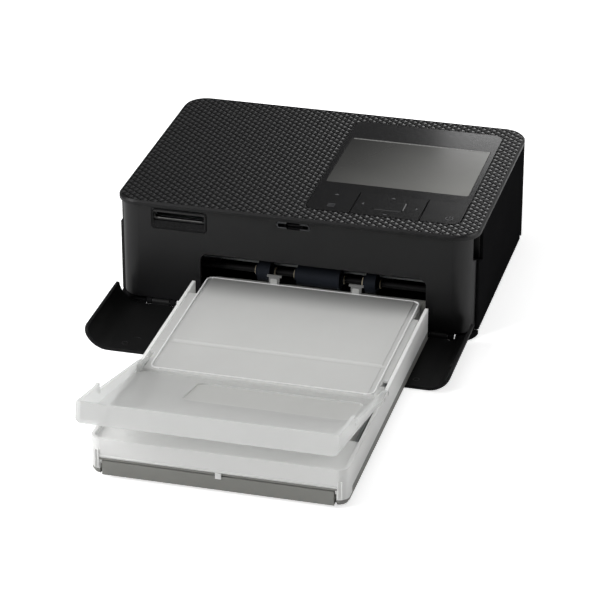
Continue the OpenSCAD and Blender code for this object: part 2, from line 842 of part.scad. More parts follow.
module ink_door() {
    edge_r = wall - 0.1;
    edge_in = half_w - edge_r;
    color(black) place() difference() {
        union() {
            along_z(shell_z0, shell_z1) {
                translate([side_in, side_y]) square([edge_in - side_in, door_y - side_y]);
                translate([side_in, side_y + edge_r]) square([wall, door_y - side_y - edge_r]);
                intersection() {
                    translate([edge_in, side_y + edge_r]) circle(edge_r);
                    translate([side_in, side_y]) square([wall, wall]);
                }
            }
            translate([door_x, door_y, knuckle_z0]) cylinder(h = knuckle_z1 - knuckle_z0, r = knuckle_r);
            for (z = [shell_z0 + 5, (shell_z0 + shell_z1) / 2, shell_z1 - 6])
                block(side_in - rib_h, side_in + tiny, side_y + notch_d + 3, door_y - 8, z, z + 1.4);
        }
        // Finger notch at the front upper corner
        along_x(side_in - 3, half_w + 1) pocket_side(side_y - 1);
        // Room for the bay frame's two ears, and the pin's bore
        for (z = [[0, knuckle_z0], [knuckle_z1, body_h]])
            block(side_in - 1, half_w + 1, door_y - bay_ear_r - 0.5, door_y + 3, z[0], z[1]);
        translate([door_x, door_y, 0]) cylinder(h = body_h, r = door_pin_r + pin_play);
    }
}

module door_pin() {
    color(steel) place() translate([door_x, door_y, bay_ear_zs[0]])
        cylinder(h = bay_ear_zs[1] + bay_ear_t - bay_ear_zs[0], r = door_pin_r);
}

module bay_frame() {
    bay_x0 = bay_x1 - bay_t;
    color(black) place() difference() {
        union() {
            block(bay_x0, bay_x1, side_y + notch_d + 4, door_y - 3, base_top, roof - seam);
            // Ears that hold the door's pin
            for (z = bay_ear_zs) along_z(z, z + bay_ear_t) {
                translate([door_x, door_y]) circle(bay_ear_r);
                polygon([
                    [bay_x0, door_y - 8], [bay_x1, door_y - 8], [door_x, door_y - bay_ear_r],
                    [door_x - bay_ear_r, door_y + 0.3], [bay_x0, door_y - 3]
                ]);
            }
            // Pin the eject lever turns on
            bar_x(bay_x1 - tiny, bay_x1 + lever_t + 0.5, lever_y, lever_z, lever_pin_r);
        }
        block(bay_x0 - 1, bay_x1 + 1, bay_y0, bay_y1, bay_z0, bay_z1);
        translate([door_x, door_y, 0]) cylinder(h = body_h, r = door_pin_r + pin_play);
    }
}

module eject_lever() {
    color(white) place() difference() {
        along_x(bay_x1 + 0.25, bay_x1 + 0.25 + lever_t) union() {
            translate([lever_y, lever_z]) circle(3);
            translate([lever_y - 1.5, lever_z]) square([3, 11]);
            translate([lever_y - 7.4, lever_z - 1.5]) square([7.4, 3]);
        }
        bar_x(bay_x1, bay_x1 + 3, lever_y, lever_z, lever_pin_r + pin_play);
    }
}

// Outline of a steel side plate seen from the side
module plate_outline(tall_y) {
    polygon([
        [plate_y0, base_top + 0.1], [plate_y1, base_top + 0.1], [plate_y1, plate_top - 9.5],
        [plate_y1 - 10, plate_top], [tall_y, plate_top], [tall_y, plate_low],
        [plate_y0, plate_low - 3]
    ]);
}

function shaft_places() = [
    [pick_y, pick_z, pick_shaft_r], [platen_y, platen_z, shaft_r],
    [feed_y, feed_z, shaft_r], [feed_y, pinch_z, pick_shaft_r]
];

module bush_holes() {
    for (p = shaft_places()) translate([p[0], p[1]]) circle(bush_r + pin_play);
}

module plate_foot(x0, x1) {
    difference() {
        block(x0, x1, plate_y0 + 6, plate_y1, base_top + 0.1, base_top + 0.1 + plate_t);
        for (p = screw_points()) translate([p[0], p[1], 0]) cylinder(h = 20, r = 1.2);
    }
}

module chassis_left() {
    color(steel) place() {
        along_x(plate_x0, plate_x0 + plate_t) difference() {
            plate_outline(bay_y0 - 0.5);
            bush_holes();
        }
        plate_foot(plate_x0 - 8, plate_x0 + tiny);
        // Transfer gear's stud and the two spool spindles
        bar_x(gear_x0 - 1, plate_x0 + tiny, transfer_y, transfer_z, 1.5);
        bar_x(gear_x1 + 0.4, plate_x0 + tiny, transfer_y, transfer_z, 2.6);
        for (y = [tube_y0, tube_y1]) 
            bar_x(plate_x0 + plate_t - tiny, ink_x0 + 4, y, tube_z, spindle_r);
    }
}

module chassis_right() {
    color(steel) place() {
        along_x(plate_x1, plate_x1 + plate_t) difference() {
            plate_outline(bay_y0 - 5);
            bush_holes();
            translate([bay_y0, bay_z0]) square([bay_y1 - bay_y0, bay_z1 - bay_z0]);
        }
        plate_foot(plate_x1 + plate_t - tiny, plate_x1 + plate_t + 7.4);
    }
}

module roller_bushes() {
    color("#e9e4d6") place() for (p = shaft_places(), side = [0, 1]) {
        x0 = side == 0 ? plate_x0 - 1 : plate_x1;
        difference() {
            union() {
                bar_x(x0, x0 + plate_t + 1, p[0], p[1], bush_r);
                bar_x(side == 0 ? x0 : x0 + plate_t, side == 0 ? x0 + 1 : x0 + plate_t + 1, p[0], p[1], 4);
            }
            bar_x(x0 - 1, x0 + 5, p[0], p[1], p[2] + pin_play);
        }
    }
}

module guide_plate() {
    z = print_z - 2.8;
    color(steel) place() {
        block(plate_x0 + plate_t, plate_x1, pick_y + pick_r + 2.4, platen_y - platen_r - 2, z, z + 1);
        for (i = [0 : 8]) block(
            insert_x0 + 3.4 + i * 12, insert_x0 + 4.6 + i * 12, pick_y + pick_r + 3, platen_y - platen_r - 3,
            z + 1 - tiny, z + 2
        );
    }
}

module head_beam() {
    ear_x = [head_x0 - 3.4, head_x1 + 1.6];
    color(steel) place() difference() {
        union() {
            block(plate_x0 + plate_t, plate_x1, beam_y0, beam_y1, beam_z, beam_z + beam_t);
            for (x = ear_x) block(x, x + 1.8, head_y - 2.3, head_y + 2, head_z - 2.3, beam_z + tiny);
        }
        for (x = ear_x) bar_x(x - 1, x + 3, head_y, head_z, head_pin_r + pin_play);
    }
}

module thermal_head() {
    y0 = platen_y - 7;
    color("#8a6f4a") place() {
        along_x(head_x0, head_x1) polygon([
            [y0, print_z + 2.2], [platen_y - 3, print_z + 1.1], [platen_y + 3, print_z + 1.1],
            [head_y - 2, print_z + 2.6], [head_y - 2, print_z + 7], [y0, print_z + 7]
        ]);
        bar_x(head_x0 - 4.6, head_x1 + 4.6, head_y, head_z, head_pin_r);
        for (x = [head_x0, head_x1 - 3]) block(x, x + 3, head_y - 2.1, head_y + 1, head_z - 2, head_z + 0.6);
    }
}

module head_heatsink() {
    z = print_z + 7.05;
    color("#c9ccd0") place() {
        block(head_x0 + 4, head_x1 - 4, platen_y - 6.5, platen_y + 6, z, z + 2);
        for (i = [0 : 5]) block(
            head_x0 + 4, head_x1 - 4, platen_y - 6.5 + i * 2.3, platen_y - 5.5 + i * 2.3, z + 2 - tiny, z + 9
        );
    }
}

module gear_wheel(teeth, phase, y, z, bore) {
    translate([0, y, z]) along_x(gear_x0, gear_x1) difference() {
        rotate(phase) polygon(gear_points(teeth));
        circle(bore);
        if (teeth > 20) for (a = [0 : 60 : 300]) translate(polar(gear_m * teeth * 0.32, a))
            circle(gear_m * teeth * 0.075);
    }
}

module feed_gear() {
    color(white) place() gear_wheel(feed_teeth, feed_phase, feed_y, feed_z, shaft_r);
}

module platen_gear() {
    color(white) place() gear_wheel(feed_teeth, platen_phase, platen_y, platen_z, shaft_r);
}

module transfer_gear() {
    color(white) place() gear_wheel(transfer_teeth, transfer_phase, transfer_y, transfer_z, 1.5 + pin_play);
}

module motor_pinion() {
    color("#c9a24a") place() {
        gear_wheel(pinion_teeth, pinion_phase, motor_y, motor_z, 1);
        bar_x(motor_x1 - 0.4, gear_x1, motor_y, motor_z, 1);
    }
}

module drive_motor() {
    color(dark_grey) place() difference() {
        union() {
            bar_x(motor_x0, motor_x1, motor_y, motor_z, motor_r);
            bar_x(motor_x1 - tiny, motor_x1 + bracket_t, motor_y, motor_z, 4.5);
        }
        bar_x(motor_x1 - 1.4, motor_x1 + 3, motor_y, motor_z, 1.1);
    }
}

module motor_bracket() {
    half = motor_r + 5;
    color(steel) place() {
        along_x(motor_x1, motor_x1 + bracket_t) difference() {
            rounded_box(motor_y - half, motor_y + half, motor_z - 7, motor_z + 8, 3);
            translate([motor_y, motor_z]) circle(4.6);
        }
        for (side = [-1, 1])
            bar_x(motor_x1 + bracket_t - tiny, plate_x0, motor_y + side * (half - 3), motor_z + 4, 2);
    }
}

module pickup_shaft() {
    color(steel) place() bar_x(shaft_x0, shaft_x1, pick_y, pick_z, pick_shaft_r);
}

// Three rubber rollers, each held between two white collars
module pickup_rollers() {
    spans = [[-31, -24.8], [-11.2, 10.6], [23.6, 28.8]];
    color(rubber_grey) place() for (s = spans) difference() {
        union() {
            bar_x(tray_mid + s[0], tray_mid + s[1], pick_y, pick_z, pick_r);
            bar_x(tray_mid + s[0] - 1.4, tray_mid + s[1] + 1.4, pick_y, pick_z, 3);
        }
        bar_x(tray_mid + s[0] - 2, tray_mid + s[1] + 2, pick_y, pick_z, pick_shaft_r);
    }
}

module feed_roller() {
    color(steel) place() {
        bar_x(insert_x0 - 1, insert_x1 + 3, feed_y, feed_z, feed_r);
        bar_x(gear_x0 - 0.6, shaft_x1, feed_y, feed_z, shaft_r);
    }
}

module pinch_roller() {
    color(rubber_grey) place() {
        bar_x(insert_x0 + 3, insert_x1 - 1, feed_y, pinch_z, pinch_r);
        bar_x(shaft_x0, shaft_x1, feed_y, pinch_z, pick_shaft_r);
    }
}

module platen_shaft() {
    color(steel) place() bar_x(gear_x0 - 0.6, shaft_x1, platen_y, platen_z, shaft_r);
}

module platen_roller() {
    color(rubber_grey) place() difference() {
        bar_x(head_x0 - 1, head_x1 + 1, platen_y, platen_z, platen_r);
        bar_x(head_x0 - 2, head_x1 + 2, platen_y, platen_z, shaft_r);
    }
}

// One tube of the ink cassette, open along the side where the ribbon leaves
module ink_tube(y, lean) {
    translate([0, y, tube_z]) along_x(ink_x0, ink_x1) difference() {
        circle(tube_r);
        circle(tube_r - tube_wall);
        rotate(lean) translate([4, -1.6]) square([tube_r, 3.2]);
    }
    translate([0, y, tube_z]) along_x(ink_x0, ink_x0 + 1) difference() {
        circle(tube_r);
        circle(4.3);
    }
}

module ink_shell() {
    end_r = tube_r + 0.4;
    end_t = 2;
    color("#3a3a3d") place() {
        ink_tube(tube_y0, -45);
        ink_tube(tube_y1, 225);
        for (y = [tube_y0, tube_y1]) bar_x(ink_x1 - 4, ink_x1, y, tube_z, spindle_r);
        along_x(ink_x1 - tiny, ink_x1 + end_t)
            rounded_box(tube_y0 - end_r, tube_y1 + end_r, tube_z - end_r, tube_z + end_r, end_r - 0.1);
        along_x(ink_x1 + end_t - tiny, min(ink_x1 + end_t + 3, side_in - rib_h - 0.5))
            rounded_box(platen_y - 9, platen_y + 9, tube_z - 1.2, tube_z + 1.2, 1.1);
    }
}

// Wound ribbon on its core, turning inside a tube
module spool(y) {
    difference() {
        union() {
            bar_x(ink_x0 + 0.2, ink_x1 - 0.5, y, tube_z, 4.2);
            bar_x(ink_x0 + 6, ink_x1 - 6, y, tube_z, film_r);
            for (x = [ink_x0 + 4, ink_x1 - 6]) bar_x(x, x + 2, y, tube_z, tube_r - tube_wall - 0.5);
        }
        for (x = [ink_x0 - 1, ink_x1 - 5]) bar_x(x, x + 6, y, tube_z, spindle_r + pin_play);
    }
}

module supply_spool() {
    color("#c8a21e") place() spool(tube_y0);
}

module takeup_spool() {
    color("#2b4f86") place() spool(tube_y1);
}

module ink_ribbon() {
    film = 0.2;
    z = print_z + 0.35;
    y0 = platen_y - 7.5;
    y1 = platen_y + 7.5;
    top_y = (film_r + 0.25) * sqrt(0.5);
    color("#7b3f52") place() along_x(head_x0 + 3, head_x1 - 3) polygon([
        [tube_y0 + top_y, tube_z - top_y], [y0, z], [y1, z], [tube_y1 - top_y, tube_z - top_y],
        [tube_y1 - top_y + film, tube_z - top_y + film], [y1, z + film], [y0, z + film],
        [tube_y0 + top_y - film, tube_z - top_y + film]
    ]);
}

// Outline of the cassette in front of its shoulders
module tray_outline(inset = 0) {
    rounded_box(tray_x0 + inset, tray_x1 - inset, tray_y0 + inset, shoulder_y + 20, tray_corner - inset);
}

module tray_span(z0, z1, inset) {
    intersection() {
        along_z(z0, z1) tray_outline(inset);
        block(tray_x0 - 1, tray_x1 + 1, tray_y0 - 1, shoulder_y, z0, z1);
    }
}

// Blocks at the two front corners, where the clear wall reaches lower
module front_corners(z0, z1) {
    for (x = [tray_x0 - 1, tray_x1 - tray_corner])
        block(x, x + tray_corner + 1, tray_y0 - 1, tray_y0 + corner_l, z0, z1);
}

module tray_base() {
    color(base_grey) place() difference() {
        union() {
            difference() {
                tray_span(tray_z0 + foot_step, tray_base_top, 0);
                front_corners(corner_z, tray_base_top + 1);
            }
            tray_span(tray_z0, tray_z0 + foot_step + 0.1, 0.9);
            // Bar across the front, between the corner slots
            block(tray_x0 + tray_corner + 1, tray_x1 - tray_corner - 1, tray_y0 - 0.5, tray_y0 + tray_t,
                tray_z0, bar_z1);
            block(insert_x0, insert_x1, shoulder_y - tiny, insert_y1, insert_z0, insert_wall_top);
        }
        difference() {
            tray_span(tray_z0 + tray_t, tray_base_top + 1, tray_t);
            block(tray_x0, tray_x1, shoulder_y - 1.5, shoulder_y + 1, 0, insert_z0 + tray_t);
        }
        block(insert_x0 + tray_t, insert_x1 - tray_t, shoulder_y - 2, insert_y1 - tray_t,
            insert_z0 + tray_t, tray_top);
        // Slots that part the corner feet from the front bar
        for (x = [tray_x0 + tray_corner, tray_x1 - tray_corner - 1])
            block(x, x + 1, tray_y0 - 1, tray_y0 + tray_t + 1, tray_z0 - 1, bar_z1 + 1);
        bar_x(tray_x0 + 0.6, tray_x1 - 0.6, lift_axis_y, lift_axis_z, lift_rod_r + pin_play);
        // Window for the arm that lifts the paper
        block(tray_mid - 14, tray_mid + 14, shoulder_y - 26, shoulder_y - 8, 0, tray_z0 + 3);
    }
}

module tray_frame() {
    color(milky) place() difference() {
        union() {
            difference() {
                union() {
                    tray_span(tray_base_top + 0.05, tray_top, 0);
                    intersection() {
                        tray_span(corner_z, tray_top, 0);
                        front_corners(corner_z + 0.05, tray_top);
                    }
                }
                tray_span(corner_z - 1, tray_top + 1, tray_t);
                // The front wall begins above the lower shell's bar
                block(tray_x0 + tray_corner + 0.7, tray_x1 - tray_corner - 0.7, tray_y0 - 1,
                    tray_y0 + tray_t + 1, 0, bar_z1 + 0.35);
            }
            // Shelf that closes the cassette in front of the paper
            intersection() {
                tray_span(tray_top - 3, tray_top - 1.8, tray_t - tiny);
                block(tray_x0, tray_x1, tray_y0, tray_y0 + shelf_l, 0, tray_top);
            }
            // Centre rib behind the front wall
            block(tray_mid - 0.8, tray_mid + 0.8, tray_y0 + tray_t - tiny, tray_y0 + 6, bar_z1 + 0.35,
                tray_top - 2.9);
            // Tongue in the middle that hooks over the bar
            along_x(tray_mid - 1.4, tray_mid + 1.4) {
                translate([tray_y0 - 0.9, bar_z1 + 0.05]) square([tray_t + 0.9, 1.55]);
                translate([tray_y0 - 0.9, bar_z1 - 1.2]) square([0.35, 2]);
            }
        }
        bar_x(tray_x0 - 1, tray_x1 + 1, cover_axis_y, cover_axis_z, hinge_pin_r + pin_play);
        bar_x(tray_x0 - 1, tray_x1 + 1, lid_y, lid_z, hinge_pin_r + pin_play);
    }
}

module lift_plate() {
    color(steel) place() difference() {
        // Plate with the rod it turns on, which ends in the cassette's side walls
        union() {
            bar_x(tray_x0 + 0.8, tray_x1 - 0.8, lift_axis_y, lift_axis_z, lift_rod_r);
            block(tray_mid - paper_w / 2 - 1, tray_mid + paper_w / 2 + 1, lift_axis_y, stack_y1,
                stack_z - lift_t - 0.1, stack_z - 0.1);
        }
        block(tray_mid - 20, tray_mid + 20, stack_y1 - 40, stack_y1 - 28, 0, tray_top);
    }
}

module paper_stack() {
    color(white) place() block(
        tray_mid - paper_w / 2, tray_mid + paper_w / 2, stack_y1 - paper_l, stack_y1,
        stack_z, stack_z + stack_h
    );
}

module inner_cover() {
    rear_x0 = insert_x0 + 0.2;
    rear_x1 = insert_x1 - 0.2;
    z0 = tray_top - cover_t;
    color(milky) place() difference() {
        union() {
            difference() {
                along_z(z0, tray_top) {
                    rounded_box(rear_x0, rear_x1, cover_y0 + 9, cover_y1, 3.5);
                    translate([tray_x0 + arm_in, cover_y0])
                        square([tray_w - 2 * arm_in, shoulder_y - notch_len - cover_y0]);
                }
                // Room for the outer lid's arms
                for (x = [tray_x0, tray_x1 - arm_in - arm_t - 0.4])
                    block(x, x + arm_in + arm_t + 0.4, cover_y0 - 1, lid_y + 7.4, 0, tray_top + 1);
            }
            // Raised middle panel
            along_z(tray_top - tiny, tray_top + 0.4)
                rounded_box(rear_x0 + 3.2, rear_x1 - 3.2, cover_y0 + 1.2, cover_y1 - 0.4, 3);
            // Skirt that stiffens the rear part
            for (x = [rear_x0, rear_x1 - 1.2])
                block(x, x + 1.2, shoulder_y - 2, cover_y1 - 3.5, tray_top - 5, z0 + tiny);
            // Two catches on the rear edge
            for (x = [tray_mid - 20, tray_mid + 21.4]) {
                block(x - 2.6, x + 2.6, cover_y1 - 1.4, cover_y1, tray_top - 0.5, tray_top + 4.8);
                block(x - 3.6, x + 3.6, cover_y1 - 1.4, cover_y1, tray_top + 4, tray_top + 4.8);
            }
            // Hinge knuckles with their pins
            for (x = [tray_x0 + arm_in, tray_x1 - arm_in - 4])
                bar_x(x, x + 4, cover_axis_y, cover_axis_z, 1.8);
            bar_x(tray_x0 + 0.2, tray_x0 + arm_in + tiny, cover_axis_y, cover_axis_z, hinge_pin_r);
            bar_x(tray_x1 - arm_in - tiny, tray_x1 - 0.2, cover_axis_y, cover_axis_z, hinge_pin_r);
        }
        // Shallow fold line across the cover
        bar_x(tray_x0, tray_x1, cover_y0 + 29, tray_top + 3.2, 3.4);
    }
}

// Level outer lid with its pins on the origin and its lip towards -y: plate, lip and arms
module lid_body() {
    z1 = lid_plate;
    z0 = lid_plate - lid_plate_t;
    difference() {
        union() {
            along_z(z0, z1) rounded_box(tray_x0 + arm_in, tray_x1 - arm_in, -lid_l, -lid_s0, 2);
            along_y(-lid_l, -lid_l + 1.4) rounded_box(tray_x0, tray_x1, z0, z1 + lip_h, lip_r);
            // Stiffening ribs inside the lip
            for (x = [tray_x0 + 14, tray_x1 - 34, tray_x1 - 22])
                block(x, x + 0.8, -lid_l + 1.3, -lid_l + 2.4, z1 - tiny, z1 + lip_h - 2);
            // Arms that reach over the inner cover's knuckles to the pins
            for (x = [tray_x0 + arm_in, tray_x1 - arm_in - arm_t]) along_x(x, x + arm_t) {
                circle(2);
                polygon([
                    [1.3, 0], [1.3, 2.6], [-lid_s0 - 3, 3.1], [-lid_s0 - 3, z0], [-lid_s0, z0],
                    [-lid_s0 + 0.2, 0.9], [-4.4, 2], [-1.5, 2], [-1.5, 0]
                ]);
            }
            bar_x(tray_x0 + 0.2, tray_x0 + arm_in + tiny, 0, 0, hinge_pin_r);
            bar_x(tray_x1 - arm_in - tiny, tray_x1 - 0.2, 0, 0, hinge_pin_r);
        }
        // Thin window across the middle of the lid
        along_z(z1 - 0.7, z1 + 2)
            rounded_box(insert_x0 + 27.4, insert_x1 - 2.4, -lid_s0 - 37, -lid_s0 - 7, 4.5);
    }
}

// Side rims of the level lid, each with a raised tab at the lip
module lid_rims() {
    z1 = lid_plate;
    z0 = lid_plate - lid_plate_t;
    rim_z = lid_plate + 3.5;
    tab_s = lid_l - 29.5;
    intersection() {
        // Rounded lower edges, like the lip's
        along_y(-lid_l + tiny, 0) rounded_box(tray_x0, tray_x1, z0, z1 + lip_h + lip_r + 4, lip_r);
        union() {
            for (x = [tray_x0, tray_x1 - tray_t]) along_x(x, x + tray_t) polygon([
                [-4, z0], [-4, rim_z - 0.1], [-tab_s + 0.6, rim_z + 2.2], [-tab_s + 0.6, rim_z + 0.6],
                [-tab_s - 0.4, rim_z + 0.6], [-tab_s - 0.4, rim_z + 5.6], [-tab_s - 6, z1 + lip_h],
                [-lid_l, z1 + lip_h], [-lid_l, z0]
            ]);
            for (x = [tray_x0 + tray_t - tiny, tray_x1 - arm_in - tiny])
                block(x, x + cover_side_gap + 2 * tiny, -lid_l, -lid_s0 - 2, z0, z1);
        }
    }
}

module lid_pose() {
    translate([0, lid_y, lid_z]) rotate([-lid_tilt, 0, 0]) children();
}

module outer_lid() {
    color(milky) place() {
        lid_pose() lid_body();
        // The rims begin above the cassette's walls
        difference() {
            lid_pose() lid_rims();
            block(tray_x0 - 1, tray_x1 + 1, lid_y - lid_l, lid_y + 9, 0, tray_top + fit);
        }
    }
}

top_cover();
control_panel();
screen_window();
lcd_module();
panel_board();
front_panel();
left_cover();
rear_cover();
base_plate();
rubber_feet();
bay_frame();
card_slot_bezel();
card_reader();
usb_port();
port_board();
dc_jack();
main_board();
chassis_left();
chassis_right();
guide_plate();
head_beam();
drive_motor();
motor_bracket();
roller_bushes();
flap_pins();
door_pin();
base_screws();
front_flap();
menu_rocker();
nav_pad();
ok_button();
power_key();
ink_door();
ink_shell();
ink_ribbon();
supply_spool();
takeup_spool();
eject_lever();
pickup_shaft();
pickup_rollers();
feed_roller();
feed_gear();
pinch_roller();
platen_shaft();
platen_roller();
platen_gear();
transfer_gear();
motor_pinion();
thermal_head();
head_heatsink();
tray_base();
tray_frame();
lift_plate();
paper_stack();
inner_cover();
outer_lid();
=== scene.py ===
import json
import math

import bmesh
import bpy
from mathutils import Matrix, Vector


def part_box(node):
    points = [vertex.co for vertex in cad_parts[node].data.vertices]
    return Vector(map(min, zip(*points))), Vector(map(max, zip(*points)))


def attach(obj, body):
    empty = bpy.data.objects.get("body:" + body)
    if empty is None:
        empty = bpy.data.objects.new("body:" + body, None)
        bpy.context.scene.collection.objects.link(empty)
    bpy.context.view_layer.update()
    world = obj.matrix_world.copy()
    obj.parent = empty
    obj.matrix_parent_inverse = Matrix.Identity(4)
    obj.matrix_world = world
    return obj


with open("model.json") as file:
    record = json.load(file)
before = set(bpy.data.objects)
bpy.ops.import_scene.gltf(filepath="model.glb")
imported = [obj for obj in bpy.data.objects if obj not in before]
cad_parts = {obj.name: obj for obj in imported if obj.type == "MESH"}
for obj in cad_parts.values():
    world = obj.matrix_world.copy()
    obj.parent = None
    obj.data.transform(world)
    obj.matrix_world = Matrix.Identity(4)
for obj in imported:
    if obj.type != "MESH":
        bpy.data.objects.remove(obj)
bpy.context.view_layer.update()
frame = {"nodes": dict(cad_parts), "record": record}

MM = 0.001
nodes = frame["nodes"]

# A noise texture mostly runs between these two values
NOISE_LOW, NOISE_HIGH = 0.3, 0.7
# Soft patches in tone, per metre: about 22 mm wide on plastics and 17 mm on metals
PLASTIC_PATCHES, METAL_PATCHES = 45.0, 60.0
# How far a roughness strays to both sides of its middle
PLASTIC_STRAY, METAL_STRAY = 0.05, 0.07
# Streaks per metre along a metal's lines: 25 mm long
METAL_STREAKS = 40.0
# Samples of a softened corner
BEVEL_SAMPLES = 4


# Colour and shader helpers

def colour(code):
    """Turns an sRGB hex colour into the linear values that Blender takes."""
    def linear(pair):
        value = int(pair, 16) / 255
        return value / 12.92 if value <= 0.04045 else ((value + 0.055) / 1.055) ** 2.4
    return (*(linear(code[i:i + 2]) for i in (1, 3, 5)), 1.0)


def add(tree, kind, inputs=None, **settings):
    """Adds one shader node, with its settings, its input values and its links."""
    node = tree.nodes.new("ShaderNode" + kind)
    for name, value in settings.items():
        setattr(node, name, value)
    for key, value in (inputs or {}).items():
        if isinstance(value, bpy.types.NodeSocket):
            tree.links.new(value, node.inputs[key])
        else:
            node.inputs[key].default_value = value
    return node


def new_material(name):
    """Starts an empty node material."""
    mat = bpy.data.materials.new(name)
    mat.use_nodes = True
    mat.node_tree.nodes.clear()
    return mat


def moulded(name, dark, light, rough, grain, height, spec=0.5, coat=0.0, edge=0.0):
    """A moulded or ground surface: two near colours in soft patches, an uneven gloss and a fine grain.

    grain is the grain's width and height its depth, both in mm; edge is the radius that softens sharp
    corners to the eye, in mm. Real grains are 0.05 to 0.1 mm wide, too fine to show here, so they are
    drawn several times coarser.
    """
    mat = new_material(name)
    tree = mat.node_tree
    place = add(tree, "TexCoord").outputs["Object"]
    patch = add(tree, "TexNoise", {"Vector": place, "Scale": PLASTIC_PATCHES, "Detail": 3.0,
                                   "Roughness": 0.6})
    tone = add(tree, "Mix", {"Factor": patch.outputs["Fac"], "A": colour(dark), "B": colour(light)},
               data_type="RGBA")
    grit = add(tree, "TexNoise", {"Vector": place, "Scale": 1000.0 / grain, "Detail": 2.0})
    gloss = add(tree, "MapRange", {
        "Value": grit.outputs["Fac"], "From Min": NOISE_LOW, "From Max": NOISE_HIGH,
        "To Min": rough - PLASTIC_STRAY, "To Max": rough + PLASTIC_STRAY})
    skin = {"Height": grit.outputs["Fac"], "Distance": height * MM, "Strength": 0.6}
    if edge:
        soft = add(tree, "Bevel", {"Radius": edge * MM}, samples=BEVEL_SAMPLES)
        skin["Normal"] = soft.outputs["Normal"]
    bump = add(tree, "Bump", skin)
    body = add(tree, "BsdfPrincipled", {
        "Base Color": tone.outputs["Result"], "Roughness": gloss.outputs["Result"],
        "Normal": bump.outputs["Normal"], "Specular IOR Level": spec,
        "Coat Weight": coat, "Coat Roughness": 0.05})
    add(tree, "OutputMaterial", {"Surface": body.outputs["BSDF"]})
    return mat


def metal(name, dark, light, rough, line, along, height):
    """A worked metal with fine lines along one axis: line is their spacing, height their depth, in mm.

    Real rolled or turned lines lie closer than 0.1 mm, so these are drawn coarser, or they wouldn't show.
    """
    mat = new_material(name)
    tree = mat.node_tree
    place = add(tree, "TexCoord").outputs["Object"]
    stretch = [1000.0 / line] * 3
    stretch[along] = METAL_STREAKS
    lines = add(tree, "Mapping", {"Vector": place, "Scale": stretch}).outputs["Vector"]
    drawn = add(tree, "TexNoise", {"Vector": lines, "Scale": 1.0, "Detail": 2.0})
    patch = add(tree, "TexNoise", {"Vector": place, "Scale": METAL_PATCHES, "Detail": 3.0})
    tone = add(tree, "Mix", {"Factor": patch.outputs["Fac"], "A": colour(dark), "B": colour(light)},
               data_type="RGBA")
    gloss = add(tree, "MapRange", {
        "Value": drawn.outputs["Fac"], "From Min": NOISE_LOW, "From Max": NOISE_HIGH,
        "To Min": rough - METAL_STRAY, "To Max": rough + METAL_STRAY})
    bump = add(tree, "Bump", {"Height": drawn.outputs["Fac"], "Distance": height * MM, "Strength": 0.5})
    body = add(tree, "BsdfPrincipled", {
        "Base Color": tone.outputs["Result"], "Roughness": gloss.outputs["Result"], "Metallic": 1.0,
        "Normal": bump.outputs["Normal"]})
    add(tree, "OutputMaterial", {"Surface": body.outputs["BSDF"]})
    return mat


# Materials: one for each finish of the record, and those of single pieces

# Moulded ABS with a spark-eroded satin skin: soft black that catches thin light lines on its edges
housing_black = moulded("moulded satin ABS, black", "#0d0d0e", "#121213", 0.4, 0.35, 0.012,
                        spec=0.42, edge=0.35)
# The same ABS with a finer, drier skin on the side door and below: nearly black at a slant
cover_black = moulded("moulded fine-matt ABS, black", "#161617", "#1d1d1e", 0.7, 0.3, 0.02,
                      spec=0.0, edge=0.3)
# The top cover's own rim, the left and the rear: the same ABS, a little duller than the front
rim_black = moulded("moulded satin ABS, rim", "#0c0c0d", "#111112", 0.42, 0.35, 0.012,
                    spec=0.34, edge=0.3)
# The flap's skin: the driest of the blacks
flap_black = moulded("moulded dry-matt ABS, black", "#090909", "#0d0d0e", 0.5, 0.3, 0.01,
                     spec=0.2, edge=0.5)
# Polished ABS: deep black with clear, slightly soft reflections of the room
panel_gloss = moulded("polished ABS, black", "#0b0b0c", "#0e0e0f", 0.13, 0.9, 0.003, edge=0.15)
# Ground rubber: dull, nearly black, a little dusty
foot_rubber = moulded("moulded nitrile rubber, black", "#1b1b1c", "#262627", 0.8, 0.4, 0.03, spec=0.3)
# Unpolished ABS inside the housing: flat black with a coarse mould skin
inner_black = moulded("as-moulded ABS, inside black", "#0b0b0c", "#111112", 0.6, 0.5, 0.015, spec=0.2)
# Acetal gears: cream, waxy, with a soft sheen
cream_plastic = moulded("moulded acetal, cream", "#d9d2bd", "#e6e0cd", 0.38, 0.6, 0.006,
                        spec=0.45)
# Ribbon cassette shell: dark grey polystyrene with a light grain
ink_plastic = moulded("moulded polystyrene, dark grey", "#3a3b3e", "#46474a", 0.4, 0.4, 0.01)
# Pick-up roller rubber: blue-black, ground dull
roller_rubber = moulded("ground silicone rubber, blue-black", "#171a1f", "#20242c", 0.7, 0.25, 0.02,
                        spec=0.12)
# Grey ABS lower shell of the cassette: even mid grey, satin
tray_grey = moulded("moulded satin ABS, grey", "#7c7c78", "#858581", 0.45, 0.35, 0.01, spec=0.4,
                    edge=0.2)
# Glazed ceramic strip that carries the heating line: smooth off-white brown
head_ceramic = moulded("glazed alumina ceramic", "#b7aa92", "#c8bda6", 0.2, 0.5, 0.004, coat=0.3)
# Tips of the top cover's points: satin ABS that catches the light, a little lighter than the housing's as
# a painted highlight
skin_tip_painted_highlight = moulded("textured ABS, satin tips, painted highlight", "#111112", "#171718", 0.28, 0.4, 0.01, spec=0.46)
# Flanks and grooves between the points: dead matt, and darker as a painted shade, so that every point
# stands alone
skin_groove_painted_shade = moulded("textured ABS, matt grooves, painted shade", "#050505", "#080808", 0.7, 0.4, 0.02, spec=0.08)
# Keys: a finer and duller black than the panel they lie in
key_black = moulded("polished ABS, key black", "#0a0a0b", "#0d0d0e", 0.16, 0.5, 0.003, spec=0.4,
                    edge=0.1)
# Lacquered ring round the centre button: wet black gloss with sharp glints
ring_gloss = moulded("lacquered ABS, black", "#060607", "#08080a", 0.1, 0.9, 0.001,
                     spec=0.8, coat=0.8)
